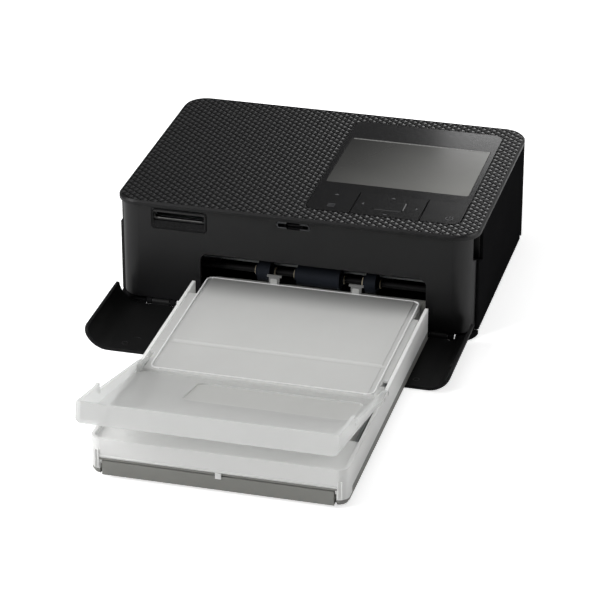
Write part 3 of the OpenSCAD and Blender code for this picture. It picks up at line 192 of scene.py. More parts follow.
# Ground bevel of the window: greyer and duller than its face, the grey a painted highlight along its rear
# edge. The card slit's lip is as grey, a painted highlight there too.
bevel_grey_painted_highlight = moulded("ground acrylic bevel, painted highlight", "#6c6c6a", "#7b7b79", 0.25, 1.5, 0.002)
# Dark sheet of painted shade over the air slots, drawn as felt: brown-black and fluffy
slot_shade_felt = moulded("needled polyester felt, painted shade", "#121110", "#1e1c1a", 0.95, 0.25, 0.12, spec=0.05)
# Pad-printed ink of the signs on the keys: pale grey, flat, a little uneven
sign_ink = moulded("pad-printed ink, pale grey", "#434446", "#4e4f51", 0.5, 0.15, 0.004, spec=0.3)
# Zinc-plated sheet steel: cool, bright, rolled lines along the width
plated_steel = metal("zinc-plated sheet steel", "#9fa2a5", "#b9bcbe", 0.34, 0.3, 0, 0.004)
# Drawn steel motor can: smoother and a little warmer
motor_can = metal("drawn nickel-plated steel", "#a8a6a1", "#bdbbb6", 0.24, 0.5, 2, 0.003)
# Blackened steel shell of the data port: dark and bright at once, as its curve turns to the lamps
port_metal = metal("blackened steel", "#4a4b4d", "#5b5c5e", 0.3, 0.3, 0, 0.003)
# Turned brass: warm yellow with fine turning lines
brass = metal("turned brass", "#b8913f", "#cfa956", 0.26, 0.15, 1, 0.004)
# Extruded aluminium: pale, dull lines along the fins
bare_aluminium = metal("extruded aluminium", "#b9bcc0", "#cfd2d5", 0.36, 0.4, 0, 0.005)


# The screen's painted reflection, a grey that rises to the front right: how much of its rise runs to the
# right and to the front, how much a soft cloud stirs it, and the power that keeps most of it dark
SCREEN_ACROSS, SCREEN_DOWN = 0.7, 0.3
SCREEN_CLOUD = 0.12
SCREEN_CURVE = 1.6


def screen():
    """Acrylic window over a switched-off screen: black gloss, with a painted reflection as a grey that is
    paler to the front right.
    """
    mat = new_material("tinted acrylic window, painted reflection")
    tree = mat.node_tree
    place = add(tree, "TexCoord").outputs["Object"]
    axes = add(tree, "SeparateXYZ", {"Vector": place}).outputs
    lo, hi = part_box("screen_window")
    across = add(tree, "MapRange", {"Value": axes["X"], "From Min": lo.x, "From Max": hi.x})
    down = add(tree, "MapRange", {"Value": axes["Y"], "From Min": hi.y, "From Max": lo.y})
    both = add(tree, "Math", {0: across.outputs["Result"], 1: SCREEN_ACROSS}, operation="MULTIPLY")
    mixed = add(tree, "Math", {0: down.outputs["Result"], 1: SCREEN_DOWN, 2: both.outputs[0]},
                operation="MULTIPLY_ADD")
    cloud = add(tree, "TexNoise", {"Vector": place, "Scale": 30.0, "Detail": 2.0})
    spread = add(tree, "Math", {0: cloud.outputs["Fac"], 1: SCREEN_CLOUD, 2: mixed.outputs[0]},
                 operation="MULTIPLY_ADD")
    rise = add(tree, "Math", {0: spread.outputs[0], 1: SCREEN_CURVE}, operation="POWER")
    # Painted reflection: dark grey at the rear left, paler grey at the front right
    tone = add(tree, "Mix", {"Factor": rise.outputs[0], "A": colour("#252524"),
                             "B": colour("#858582")}, data_type="RGBA")
    body = add(tree, "BsdfPrincipled", {
        "Base Color": tone.outputs["Result"], "Roughness": 0.09, "Specular IOR Level": 0.55})
    add(tree, "OutputMaterial", {"Surface": body.outputs["BSDF"]})
    return mat


def solder_mask():
    """Printed circuit board: green solder mask, tracks showing as slightly lighter, raised lines.

    At 120 units per metre the tracks are 0.25 mm wide and lie 2.5 mm apart.
    """
    mat = new_material("solder mask on glass epoxy")
    tree = mat.node_tree
    place = add(tree, "TexCoord").outputs["Object"]
    tracks = add(tree, "TexBrick", {
        "Vector": place, "Scale": 120.0, "Color1": (0, 0, 0, 1), "Color2": (0.4, 0.4, 0.4, 1),
        "Mortar": (1, 1, 1, 1), "Mortar Size": 0.03, "Brick Width": 0.9, "Row Height": 0.3})
    tone = add(tree, "Mix", {"Factor": tracks.outputs["Color"], "A": colour("#123f24"),
                             "B": colour("#1f5f38")}, data_type="RGBA")
    bump = add(tree, "Bump", {"Height": tracks.outputs["Fac"], "Distance": 0.03 * MM, "Strength": 0.6})
    body = add(tree, "BsdfPrincipled", {"Base Color": tone.outputs["Result"], "Roughness": 0.32,
                                        "Normal": bump.outputs["Normal"]})
    add(tree, "OutputMaterial", {"Surface": body.outputs["BSDF"]})
    return mat


# Radius that softens the cassette's corners to the eye, in mm
MILKY_EDGE = 0.3
# Soft clouds in the plastic and its mould grain, per metre: 36 mm and 0.45 mm wide. A real grain is
# finer, but wouldn't show.
MILKY_CLOUDS, MILKY_GRAIN = 28.0, 2200.0


def milky(part, dark, light, through, clear, mouth_shade=None):
    """Translucent natural polypropylene: whitish, lets what lies behind show through as soft shade.

    through is the share of light that it scatters to its other side, and clear the share it lets pass;
    mouth_shade is where a painted shade greys it towards the dark mouth, as two places along y in mm.
    """
    mat = new_material("translucent natural polypropylene, " + part)
    tree = mat.node_tree
    place = add(tree, "TexCoord").outputs["Object"]
    cloud = add(tree, "TexNoise", {"Vector": place, "Scale": MILKY_CLOUDS, "Detail": 3.0,
                                   "Roughness": 0.55})
    grit = add(tree, "TexNoise", {"Vector": place, "Scale": MILKY_GRAIN, "Detail": 2.0})
    tone = add(tree, "Mix", {"Factor": cloud.outputs["Fac"], "A": colour(dark),
                             "B": colour(light)}, data_type="RGBA")
    if mouth_shade:
        along = add(tree, "SeparateXYZ", {"Vector": place}).outputs["Y"]
        reach = add(tree, "MapRange", {"Value": along, "From Min": mouth_shade[0] * MM,
                                       "From Max": mouth_shade[1] * MM}, interpolation_type="SMOOTHSTEP")
        # Painted shade: the plastic turns grey towards the mouth
        tone = add(tree, "Mix", {"Factor": reach.outputs["Result"], "A": tone.outputs["Result"],
                                 "B": colour("#a4a4a3")}, data_type="RGBA")
    soft = add(tree, "Bevel", {"Radius": MILKY_EDGE * MM}, samples=BEVEL_SAMPLES)
    bump = add(tree, "Bump", {"Height": grit.outputs["Fac"], "Distance": 0.01 * MM, "Strength": 0.5,
                              "Normal": soft.outputs["Normal"]})
    skin = add(tree, "BsdfPrincipled", {
        "Base Color": tone.outputs["Result"], "Roughness": 0.36, "Specular IOR Level": 0.4,
        "Normal": bump.outputs["Normal"]})
    back = add(tree, "BsdfTranslucent", {"Color": tone.outputs["Result"]})
    open_way = add(tree, "BsdfTransparent", {"Color": colour("#eceded")})
    milk = add(tree, "MixShader", {0: through, 1: skin.outputs[0], 2: back.outputs[0]})
    whole = add(tree, "MixShader", {0: clear, 1: milk.outputs[0], 2: open_way.outputs[0]})
    add(tree, "OutputMaterial", {"Surface": whole.outputs[0]})
    return mat


# Thickness of one sheet of photo paper, in mm
SHEET = 0.25


def sheets():
    """Coated photo paper in a stack: white, with the fine lines of the sheets' edges."""
    mat = new_material("resin-coated photo paper")
    tree = mat.node_tree
    place = add(tree, "TexCoord").outputs["Object"]
    rise = add(tree, "SeparateXYZ", {"Vector": place}).outputs["Z"]
    turn = add(tree, "Math", {0: rise, 1: 2 * math.pi / (SHEET * MM)}, operation="MULTIPLY")
    wave = add(tree, "Math", {0: turn.outputs[0]}, operation="SINE")
    shade = add(tree, "MapRange", {"Value": wave.outputs[0], "From Min": -1.0, "From Max": 1.0})
    tone = add(tree, "Mix", {"Factor": shade.outputs["Result"], "A": colour("#cfcfcc"),
                             "B": colour("#f0f0ee")}, data_type="RGBA")
    body = add(tree, "BsdfPrincipled", {"Base Color": tone.outputs["Result"], "Roughness": 0.35})
    add(tree, "OutputMaterial", {"Surface": body.outputs["BSDF"]})
    return mat


# Winding lines of the film, per metre along its core and round it. Real film is a few thousandths of
# a millimetre thick, so the lines are drawn 0.4 mm apart.
FILM_LINES = (5.0, 2600.0, 2600.0)


def film():
    """Dyed film on its cores: dark magenta with fine winding lines and a wet gloss."""
    mat = new_material("dye-coated polyester film")
    tree = mat.node_tree
    place = add(tree, "TexCoord").outputs["Object"]
    lines = add(tree, "Mapping", {"Vector": place, "Scale": FILM_LINES}).outputs["Vector"]
    wound = add(tree, "TexNoise", {"Vector": lines, "Scale": 1.0, "Detail": 2.0})
    tone = add(tree, "Mix", {"Factor": wound.outputs["Fac"], "A": colour("#3a0f2c"),
                             "B": colour("#551a41")}, data_type="RGBA")
    body = add(tree, "BsdfPrincipled", {"Base Color": tone.outputs["Result"], "Roughness": 0.22,
                                        "Coat Weight": 0.3, "Coat Roughness": 0.1})
    add(tree, "OutputMaterial", {"Surface": body.outputs["BSDF"]})
    return mat


finishes = {
    "housing_black": housing_black, "panel_gloss": panel_gloss, "screen_glass": screen(),
    "foot_rubber": foot_rubber, "inner_black": inner_black, "cream_plastic": cream_plastic,
    "ink_plastic": ink_plastic, "roller_rubber": roller_rubber, "tray_grey": tray_grey,
    "head_ceramic": head_ceramic, "plated_steel": plated_steel, "motor_can": motor_can, "brass": brass,
    "bare_aluminium": bare_aluminium, "circuit_board": solder_mask(),
    "milky_plastic": milky("tray", "#f4f4f3", "#fafaf9", 0.24, 0.08),
    "photo_paper": sheets(), "dye_film": film(),
}
# Nodes whose skin differs from the rest of their finish. The outer lid is thin and lets much through, and
# the inner cover has a painted shade that greys it towards the mouth.
SKINS = {
    "top_cover": rim_black, "left_cover": rim_black, "rear_cover": rim_black,
    "ink_door": cover_black, "base_plate": cover_black, "front_flap": flap_black,
    "menu_rocker": key_black, "nav_pad": key_black, "ok_button": key_black, "power_key": key_black,
    "outer_lid": milky("lid", "#e4e4e3", "#ececeb", 0.36, 0.4),
    "inner_cover": milky("cover", "#e6e6e5", "#ededec", 0.45, 0.24, mouth_shade=(2.0, 27.0)),
}
for part in frame["record"]["subparts"]:
    mesh = nodes[part["node"]].data
    mesh.materials.clear()
    mesh.materials.append(SKINS.get(part["node"], finishes[part["material_slot"]]))


# Shape helpers

def piece(name, bm, slot, body, finish=None, pose=None):
    """Makes a finished piece of a bmesh whose sizes are in mm, gives it its finish and its body.

    pose takes the bmesh from the frame it was drawn in to the part's frame.
    """
    if pose:
        bmesh.ops.transform(bm, matrix=pose, verts=bm.verts)
    bmesh.ops.recalc_face_normals(bm, faces=bm.faces)
    bmesh.ops.scale(bm, vec=(MM, MM, MM), verts=bm.verts)
    mesh = bpy.data.meshes.new(name)
    bm.to_mesh(mesh)
    bm.free()
    obj = bpy.data.objects.new(name, mesh)
    bpy.context.scene.collection.objects.link(obj)
    mesh.materials.append(finish or finishes[slot])
    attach(obj, body)
    return obj


# The part's frame: y runs from the middle of the footprint, which lies this far in front of the panel
FRONT_Y = 25.3059
low, high = (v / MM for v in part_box("top_cover"))
# Radius of the housing's four corners, seen from above
CORNER = 12

# Outline of the control panel in the housing's frame: left, right, front, rear and corner radius
DECK = (2.4, 79.9, 13.0, 122.75, 5.2)

# Edges shorter than this, in mm, have no direction, and what lies this near to a cut lies on it
SHORTEST = 1e-6
ON_CUT = 1e-5


def rounded_outline(x0, x1, y0, y1, radius, steps=6):
    """Corner points of a rectangle with round corners, anticlockwise."""
    points = []
    corners = ((x1 - radius, y0 + radius, -90), (x1 - radius, y1 - radius, 0),
               (x0 + radius, y1 - radius, 90), (x0 + radius, y0 + radius, 180))
    for cx, cy, start in corners:
        for i in range(steps + 1):
            turn = math.radians(start + 90 * i / steps)
            points.append(Vector((cx + radius * math.cos(turn), cy + radius * math.sin(turn), 0)))
    return points


def around(lo, hi, inset, radius):
    """Outline of a box seen from above, drawn in by an inset."""
    return rounded_outline(lo.x + inset, hi.x - inset, lo.y + inset, hi.y - inset, radius - inset)


def sides(outline):
    """Edges of an anticlockwise outline, each with its ends and the direction that leads out of it."""
    for a, b in zip(outline, outline[1:] + outline[:1]):
        if (b - a).length > SHORTEST:
            run = (b - a).normalized()
            yield a, b, (run.y, -run.x, 0)


# Frames that pieces are drawn in: from above, from the front, and along x
PLAN = Matrix.Translation((0, FRONT_Y, 0))
FRONT = PLAN @ Matrix.Rotation(math.radians(90), 4, "X")
ALONG_X = PLAN @ Matrix(((0, 0, 1, 0), (1, 0, 0, 0), (0, 1, 0, 0), (0, 0, 0, 1)))
# The outer lid turns about its pins at (y, z) and stands this many degrees open
LID_PINS = (-89.0, 17.6)
LID_TILT = 12.7
LID = (PLAN @ Matrix.Translation((0, *LID_PINS))
       @ Matrix.Rotation(math.radians(-LID_TILT), 4, "X"))


def prism(bm, points, z0, z1):
    """Adds a prism on an outline."""
    lower = [bm.verts.new((p[0], p[1], z0)) for p in points]
    upper = [bm.verts.new((p[0], p[1], z1)) for p in points]
    bm.faces.new(lower[::-1])
    bm.faces.new(upper)
    for i, j in zip(range(len(points)), [*range(1, len(points)), 0]):
        bm.faces.new((lower[i], lower[j], upper[j], upper[i]))


def loops(bm, profile):
    """Adds a closed ring whose section runs through outlines at heights, all with as many points."""
    rings = [[bm.verts.new((p[0], p[1], z)) for p in points] for points, z in profile]
    count = len(rings[0])
    for lower, upper in zip(rings, [*rings[1:], rings[0]]):
        for i, j in zip(range(count), [*range(1, count), 0]):
            bm.faces.new((lower[i], lower[j], upper[j], upper[i]))


def frame_strip(bm, outer, inner, z0, z1):
    """Adds a flat ring between two outlines."""
    loops(bm, ((outer, z0), (outer, z1), (inner, z1), (inner, z0)))


def arc(cx, cy, radius, start, end, steps=10):
    """Points on an arc, angles in degrees."""
    return [(cx + radius * math.cos(math.radians(start + (end - start) * i / steps)),
             cy + radius * math.sin(math.radians(start + (end - start) * i / steps)))
            for i in range(steps + 1)]


def circle(cx, cy, radius):
    """Points round a circle, one every 15 degrees."""
    return arc(cx, cy, radius, 0, 345, 23)


def thick_arc(cx, cy, radius, width, start, end):
    """Outline of a curved stroke."""
    return arc(cx, cy, radius + width / 2, start, end) + arc(cx, cy, radius - width / 2, end, start)


def bar(x0, x1, y0, y1):
    """Outline of a rectangle."""
    return [(x0, y0), (x1, y0), (x1, y1), (x0, y1)]


# Top skin: a field of low four-sided points in a slanting grid, sizes in mm

# Half of a cell's diagonals, along x and along y
SKIN_STEP = (2.615, 2.135)
# Bottom of the grooves, half of a groove's width, the rise of its flank and the height of a point
SKIN_FLOOR = high.z - 0.54
SKIN_GROOVE = 0.46
SKIN_RISE = 0.28
SKIN_POINT = 0.18
# Each point is narrowed along x and lengthened along y
SKIN_STRETCH = (0.84, 1.08)
# Smooth rim round the field, and the gap between the field and the control panel
SKIN_RIM = 1.1
SKIN_GAP = 0.35
# The grid starts with this many cells to each side, and cells farther out than the margin go at once
SKIN_CELLS = 48
SKIN_MARGIN = 6
# A cut takes in faces whose middles lie this much farther off than the cut is long
SKIN_REACH = 4
# The wall under the grooves
SKIN_WALL = 0.1


def skin_grid():
    """Flat grid of slanting cells that covers the top cover and a margin round it."""
    bm = bmesh.new()
    bmesh.ops.create_grid(bm, x_segments=2 * SKIN_CELLS, y_segments=2 * SKIN_CELLS, size=SKIN_CELLS)
    slant = Matrix(((SKIN_STEP[0], SKIN_STEP[0], 0, (low.x + high.x) / 2),
                    (SKIN_STEP[1], -SKIN_STEP[1], 0, (low.y + high.y) / 2),
                    (0, 0, 1, SKIN_FLOOR), (0, 0, 0, 1)))
    bmesh.ops.transform(bm, matrix=slant, verts=bm.verts)
    far = [f for f in bm.faces
           if not (low.x - SKIN_MARGIN < f.calc_center_median().x < high.x + SKIN_MARGIN
                   and low.y - SKIN_MARGIN < f.calc_center_median().y < high.y + SKIN_MARGIN)]
    bmesh.ops.delete(bm, geom=far, context="FACES")
    # The slant mirrors the grid, so its faces are turned over
    bmesh.ops.reverse_faces(bm, faces=bm.faces)
    bm.normal_update()
    return bm


def skin_points(bm):
    """Raises a point on every cell, with a groove round it."""
    cells = bm.faces[:]
    flanks = bmesh.ops.inset_individual(bm, faces=cells, thickness=SKIN_GROOVE, depth=SKIN_RISE)
    # The flanks take the second finish, the grooves' painted shade
    for f in flanks["faces"]:
        f.material_index = 1
    pull = Matrix.Diagonal(SKIN_STRETCH)
    for f in cells:
        middle = f.calc_center_median().xy
        for v in f.verts:
            v.co.xy = middle + pull @ (v.co.xy - middle)
    bmesh.ops.poke(bm, faces=cells, offset=SKIN_POINT)


def skin_cuts(bm):
    """Ends the field at the smooth rim, and leaves out the control panel."""
    rim = around(low, high, SKIN_RIM, CORNER)
    for a, b, out in sides(rim):
        bmesh.ops.bisect_plane(bm, geom=bm.verts[:] + bm.edges[:] + bm.faces[:], dist=ON_CUT,
                               plane_co=a, plane_no=out, clear_outer=True)
    hole = rounded_outline(DECK[0] - SKIN_GAP, DECK[1] + SKIN_GAP, DECK[2] + FRONT_Y - SKIN_GAP,
                           DECK[3] + FRONT_Y + SKIN_GAP, DECK[4] + SKIN_GAP)
    for a, b, out in sides(hole):
        reach = (b - a).length + SKIN_REACH
        near = [f for f in bm.faces if (f.calc_center_median().xy - ((a + b) / 2).xy).length < reach]
        # Dictionaries, not sets, so that the order is the same each run
        edges = dict.fromkeys(e for f in near for e in f.edges)
        verts = dict.fromkeys(v for f in near for v in f.verts)
        bmesh.ops.bisect_plane(bm, geom=[*verts, *edges, *near], dist=ON_CUT, plane_co=a, plane_no=out)
    inside = [f for f in bm.faces
              if all((b - a).cross(f.calc_center_median() - a).z > 0 for a, b, _ in sides(hole))]
    bmesh.ops.delete(bm, geom=inside, context="FACES")


def top_skin():
    """The top cover's field of points, closed below by a thin wall."""
    bm = skin_grid()
    skin_points(bm)
    skin_cuts(bm)
    wall = bmesh.ops.extrude_face_region(bm, geom=bm.faces[:])
    for v in wall["geom"]:
        if isinstance(v, bmesh.types.BMVert):
            v.co.z = SKIN_FLOOR - SKIN_WALL
    skin = piece("top_skin", bm, "housing_black", "housing", skin_tip_painted_highlight)
    skin.data.materials.append(skin_groove_painted_shade)


top_skin()


# Housing trim. A FRONT depth is negative behind the front panel's plane.

# Corner shadow blocks, dark pieces of painted shadow under the front corners: lower and upper face, front
# face, radius, and where the radius meets the front face, from the corner's centre; then each block's
# side and the x of its inner end
SHADOW_BLOCK_Z = (0.5, 2.45)
SHADOW_BLOCK_FRONT = 1.95
SHADOW_BLOCK_RADIUS = 11.9
SHADOW_BLOCK_MEETS = 6.3
SHADOW_BLOCK_ENDS = ((-1, 76.2), (1, 81.4))
# Spring lip in the card slit, pale grey as a painted highlight, and the dark ring of painted shadow round
# its bezel: outlines and depths
CARD_LIP = (-69.6, -46.4, 48.2, 48.5)
CARD_LIP_DEPTHS = (-4.6, -2.7)
BEZEL_OUTER = (-71.95, -44.05, 42.9, 53.4, 1.7)
BEZEL_INNER = (-71.3, -44.7, 43.55, 52.75, 1.1)
BEZEL_DEPTHS = (-1.95, -1.6)
# Half rings in the data port: places of their centres, radii, inner ends and depths
PORT_X, PORT_Z = 6.75, 52.1
PORT_OUTER, PORT_INNER = 1.72, 1.0
PORT_ENDS = 3.4
PORT_DEPTHS = (-3.0, -1.75)


def corner_shadow_blocks():
    """Low dark blocks of painted shadow under the two front corners, behind the flap's hinge, where the
    floor would show under the housing.
    """
    bm = bmesh.new()
    for side, inner in SHADOW_BLOCK_ENDS:
        curve = arc(high.x - CORNER, CORNER, SHADOW_BLOCK_RADIUS, 0, -58)
        edge = [(side * x, y) for x, y in curve if y > SHADOW_BLOCK_FRONT]
        edge.append((side * (high.x - CORNER + SHADOW_BLOCK_MEETS), SHADOW_BLOCK_FRONT))
        prism(bm, [*edge, (side * inner, SHADOW_BLOCK_FRONT), (side * inner, CORNER)], *SHADOW_BLOCK_Z)
    piece("corner_shadow_blocks", bm, "housing_black", "housing", cover_black, PLAN)


def card_lips():
    """Spring lip inside the memory card slit, pale grey as a painted highlight, and a thin dark ring of
    painted shadow round its bezel.
    """
    bm = bmesh.new()
    prism(bm, bar(*CARD_LIP), *CARD_LIP_DEPTHS)
    piece("card_lips", bm, "plated_steel", "housing", bevel_grey_painted_highlight, FRONT)
    bm = bmesh.new()
    frame_strip(bm, rounded_outline(*BEZEL_OUTER), rounded_outline(*BEZEL_INNER), *BEZEL_DEPTHS)
    piece("bezel_shadow_ring", bm, "panel_gloss", "housing", inner_black, FRONT)


def port_cheeks():
    """Bare metal ends of the data port's shell, each a half ring in the pill-shaped pocket."""
    bm = bmesh.new()
    for side, start in ((-1, 90), (1, -90)):
        outer = arc(side * PORT_X, PORT_Z, PORT_OUTER, start, start + 180)
        inner = arc(side * PORT_X, PORT_Z, PORT_INNER, start + 180, start)
        ends = [(side * PORT_ENDS, y) for y in (outer[-1][1], inner[0][1], inner[-1][1], outer[0][1])]
        prism(bm, [*outer, *ends[:2], *inner, *ends[2:]], *PORT_DEPTHS)
    piece("port_cheeks", bm, "plated_steel", "housing", port_metal, FRONT)


corner_shadow_blocks()
card_lips()
port_cheeks()


# Signs on the keys, raised by the thickness of the ink, with strokes of one width

INK = 0.03
STROKE = 0.45


def sign(name, body, node, shapes):
    """Prints outlines on top of a key."""
    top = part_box(node)[1].z / MM
    bm = bmesh.new()
    for shape in shapes:
        prism(bm, shape, top - INK, top + INK)
    piece(name, bm, "panel_gloss", body, sign_ink, PLAN)


# A list of three bars over an arrow, four arrows round the pad, and the power sign
sign("menu_sign", "menu_key", "menu_rocker",
     [bar(12.6, 16.2, y, y + STROKE) for y in (18.2, 19.6, 21.0)]
     + [[(13.2, 31.8), (15.6, 31.8), (14.4, 33.2)]])
sign("pad_signs", "pad_key", "nav_pad", [
    [(41.2, 16.0), (43.6, 16.0), (42.4, 14.9)], [(41.2, 34.2), (43.6, 34.2), (42.4, 35.3)],
    [(29.6, 24.2), (29.6, 26.8), (28.4, 25.5)], [(55.6, 24.2), (55.6, 26.8), (56.8, 25.5)]])
sign("power_sign", "power_button", "power_key", [
    thick_arc(73.6, 19.4, 1.75, STROKE, 125, 415), bar(73.38, 73.82, 19.6, 21.9)])


# Dark lines of painted shadow beside the pad, where the keys part: width, inset from the pad's side and
# ends, depth and height
SHADOW_WIDTH = 0.45
SHADOW_INSET, SHADOW_ENDS = 0.02, 0.6
SHADOW_DEPTH, SHADOW_RISE = 0.4, 0.015
# Edge round the centre button: its foot's depth below the top cover, its radius, and its section as
# pairs of inset and rise
RING_DROP = 0.36
RING_RADIUS = 2.0
RING_SECTION = ((0.02, -0.5), (0.02, 0.0), (0.2, 0.24), (0.5, 0.32), (0.8, 0.24), (1.0, 0.0),
                (1.0, -0.5))
# Bevel at the window's rear edge: inset from both sides, width and inset at the rear, depth and height
BEVEL_SIDES = 1.0
BEVEL_FAR, BEVEL_NEAR = 1.5, 0.35
BEVEL_DEPTH, BEVEL_RISE = 0.3, 0.03


def key_shadows():
    """Dark line of painted shadow along the two short sides of the four-way pad, where the keys part."""
    lo, hi = (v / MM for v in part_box("nav_pad"))
    bm = bmesh.new()
    for x in (lo.x + SHADOW_INSET, hi.x - SHADOW_INSET - SHADOW_WIDTH):
        prism(bm, bar(x, x + SHADOW_WIDTH, lo.y + SHADOW_ENDS, hi.y - SHADOW_ENDS),
              hi.z - SHADOW_DEPTH, hi.z + SHADOW_RISE)
    piece("key_shadows", bm, "inner_black", "pad_key", skin_groove_painted_shade)


def button_edge():
    """Raised, rounded and polished edge round the centre button."""
    lo, hi = (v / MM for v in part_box("ok_button"))
    foot = min(hi.z, high.z - RING_DROP)
    bm = bmesh.new()
    loops(bm, [(around(lo, hi, inset, RING_RADIUS), foot + rise) for inset, rise in RING_SECTION])
    piece("button_edge", bm, "panel_gloss", "centre_key", ring_gloss)


def screen_edge():
    """Ground bevel of the screen window along its rear edge, pale grey as a painted highlight."""
    lo, hi = (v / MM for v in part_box("screen_window"))
    bm = bmesh.new()
    prism(bm, bar(lo.x + BEVEL_SIDES, hi.x - BEVEL_SIDES, hi.y - BEVEL_FAR, hi.y - BEVEL_NEAR),
          hi.z - BEVEL_DEPTH, hi.z + BEVEL_RISE)
    piece("screen_edge", bm, "screen_glass", "housing", bevel_grey_painted_highlight)


key_shadows()
button_edge()
screen_edge()


# Paper path

# Pick-up shaft in the housing's (y, z), and its collars: where they start, their width and radii
PICKUP_AXIS = (13.5, 20.5)
COLLAR_STARTS = (-22.1, -12.2, -2.3, 22.9, 32.2, 41.1)
COLLAR_WIDTH = 0.5
COLLAR_OUTER, COLLAR_INNER = 2.3, 1.52
# Dark sheet of painted shade over the air slots: outline, and its lower and upper face
SLOT_SHADE = (-24.5, 39.5, 36.0, 65.0, 1.5)
SLOT_SHADE_Z = (4.02, 4.5)


def roller_collars():
    """Pale collars that hold the pick-up rollers on their shaft."""
    bm = bmesh.new()
    for x0 in COLLAR_STARTS:
        frame_strip(bm, circle(*PICKUP_AXIS, COLLAR_OUTER), circle(*PICKUP_AXIS, COLLAR_INNER),
                    x0, x0 + COLLAR_WIDTH)
    piece("roller_collars", bm, "cream_plastic", "pickup", head_ceramic, ALONG_X)


def slot_shade_sheet():
    """Dark strip of painted shade over the air slots of the base plate, drawn as felt."""
    bm = bmesh.new()
    prism(bm, rounded_outline(*SLOT_SHADE), *SLOT_SHADE_Z)
    piece("slot_shade_sheet", bm, "inner_black", "housing", slot_shade_felt, PLAN)


roller_collars()
slot_shade_sheet()


# Cassette lids, cassette trim and flap. Pieces on the cassette's bar are drawn from the front: Z stands
# for their heights, and OUT for how far they lie in front of the front panel.

# The outer lid's frosted window, in the lid's own frame: outline, and its lower and upper face
WINDOW = (-15.7, 62.2, -47.1, -17.7, 4.2)
WINDOW_Z = (-1.44, -1.38)
# The inner cover's raised panel: left and right edge, inset of its front and rear edge, corner radius
COVER_X = (-43.2, 64.7)
COVER_FRONT, COVER_REAR = 1.1, 1.4
COVER_RADIUS = 3.5
# The bead on it: its outer and inner edge, drawn in from the panel's, the panel's top, depth and height
BEAD_INSETS = (0.3, 0.9)
BEAD_TOP = 20.4
BEAD_DEPTH, BEAD_RISE = 0.5, 0.15
# Bead above the cassette's bar, the grey ledge under it that draws a line of painted shadow, and the ribs
# at its ends
BAR_X = (-44.6, 64.7)
BAR_BEAD_Z, BAR_BEAD_OUT = (10.9, 11.5), (166.3, 166.95)
BAR_SHADOW_Z, BAR_SHADOW_OUT = (9.5, 10.3), (166.3, 166.8)
RIB_STARTS = (-47.0, -45.4, 65.0, 66.6)
RIB_WIDTH = 0.6
RIB_Z, RIB_OUT = (5.4, 14.2), (165.9, 166.95)
# Windows in the two catches: x of their middles, half width, heights, corner radius and depths
CATCHES = (-9.45, 31.95)
CATCH_HALF = 1.7
CATCH_Z, CATCH_RADIUS = (19.4, 23.2), 0.6
CATCH_DEPTHS = (-0.25, -0.12)
# Mould marks inside the flap: places and sizes of the ejector's ring and the gate's arc on each side,
# and the heights where they start and end
EJECTOR_X, EJECTOR_Y = 72.5, -43.5
EJECTOR_OUTER, EJECTOR_INNER = 1.7, 1.2
GATE_X, GATE_Y = 68.4, -39.6
GATE_RADIUS, GATE_STROKE = 3.2, 0.5
# Each side with the angle where its arc starts, and the angle that an arc spans
GATE_STARTS = ((-1, 50), (1, 65))
GATE_SPAN = 65
MARK_FOOT = 1.45
EJECTOR_TOP, GATE_TOP = 1.6, 1.62

# Thin natural polypropylene with a frosted skin: greyer and clearer than the walls round it
frosted = milky("window", "#e2e2e0", "#e9e9e7", 0.3, 0.3)
# The same plastic where a bead piles it up: whiter as a painted highlight, and hardly anything shows
# through
bead_highlight_milk = milky("bead", "#f4f4f4", "#fafafa", 0.2, 0.05)


def lid_window():
    """Thin, clearer skin at the bottom of the outer lid's recess."""
    bm = bmesh.new()
    prism(bm, rounded_outline(*WINDOW), *WINDOW_Z)
    piece("lid_window", bm, "milky_plastic", "lid", frosted, LID)


def cover_highlight_bead():
    """Fine raised bead that edges the inner cover's raised panel, whiter as a painted highlight."""
    lo, hi = (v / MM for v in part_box("inner_cover"))
    front_left = Vector((COVER_X[0], lo.y + COVER_FRONT, 0))
    rear_right = Vector((COVER_X[1], hi.y - COVER_REAR, 0))
    outer, inner = (around(front_left, rear_right, inset, COVER_RADIUS) for inset in BEAD_INSETS)
    bm = bmesh.new()
    frame_strip(bm, outer, inner, BEAD_TOP - BEAD_DEPTH, BEAD_TOP + BEAD_RISE)
    piece("cover_highlight_bead", bm, "milky_plastic", "cover", bead_highlight_milk)


def tray_trim():
    """Beads above the bar, a grey ledge under them as a line of painted shadow, ribs at its ends and the
    frosted middles of the cover's two catches.
    """
    bm = bmesh.new()
    prism(bm, bar(*BAR_X, *BAR_BEAD_Z), *BAR_BEAD_OUT)
    for x in RIB_STARTS:
        prism(bm, bar(x, x + RIB_WIDTH, *RIB_Z), *RIB_OUT)
    piece("tray_beads", bm, "milky_plastic", "tray", pose=FRONT)
    bm = bmesh.new()
    prism(bm, bar(*BAR_X, *BAR_SHADOW_Z), *BAR_SHADOW_OUT)
    piece("tray_shadow_line", bm, "tray_grey", "tray", pose=FRONT)
    bm = bmesh.new()
    for x in CATCHES:
        prism(bm, rounded_outline(x - CATCH_HALF, x + CATCH_HALF, *CATCH_Z, CATCH_RADIUS),
              *CATCH_DEPTHS)
    piece("catch_windows", bm, "milky_plastic", "cover", frosted, FRONT)


def flap_marks():
    """Ejector mark and gate mark that the mould left inside the flap, on each side."""
    bm = bmesh.new()
    for side, start in GATE_STARTS:
        middle = (side * EJECTOR_X, EJECTOR_Y)
        frame_strip(bm, circle(*middle, EJECTOR_OUTER), circle(*middle, EJECTOR_INNER),
                    MARK_FOOT, EJECTOR_TOP)
        stroke = thick_arc(side * GATE_X, GATE_Y, GATE_RADIUS, GATE_STROKE, start, start + GATE_SPAN)
        prism(bm, stroke, MARK_FOOT, GATE_TOP)
    piece("flap_marks", bm, "housing_black", "flap", housing_black, PLAN)


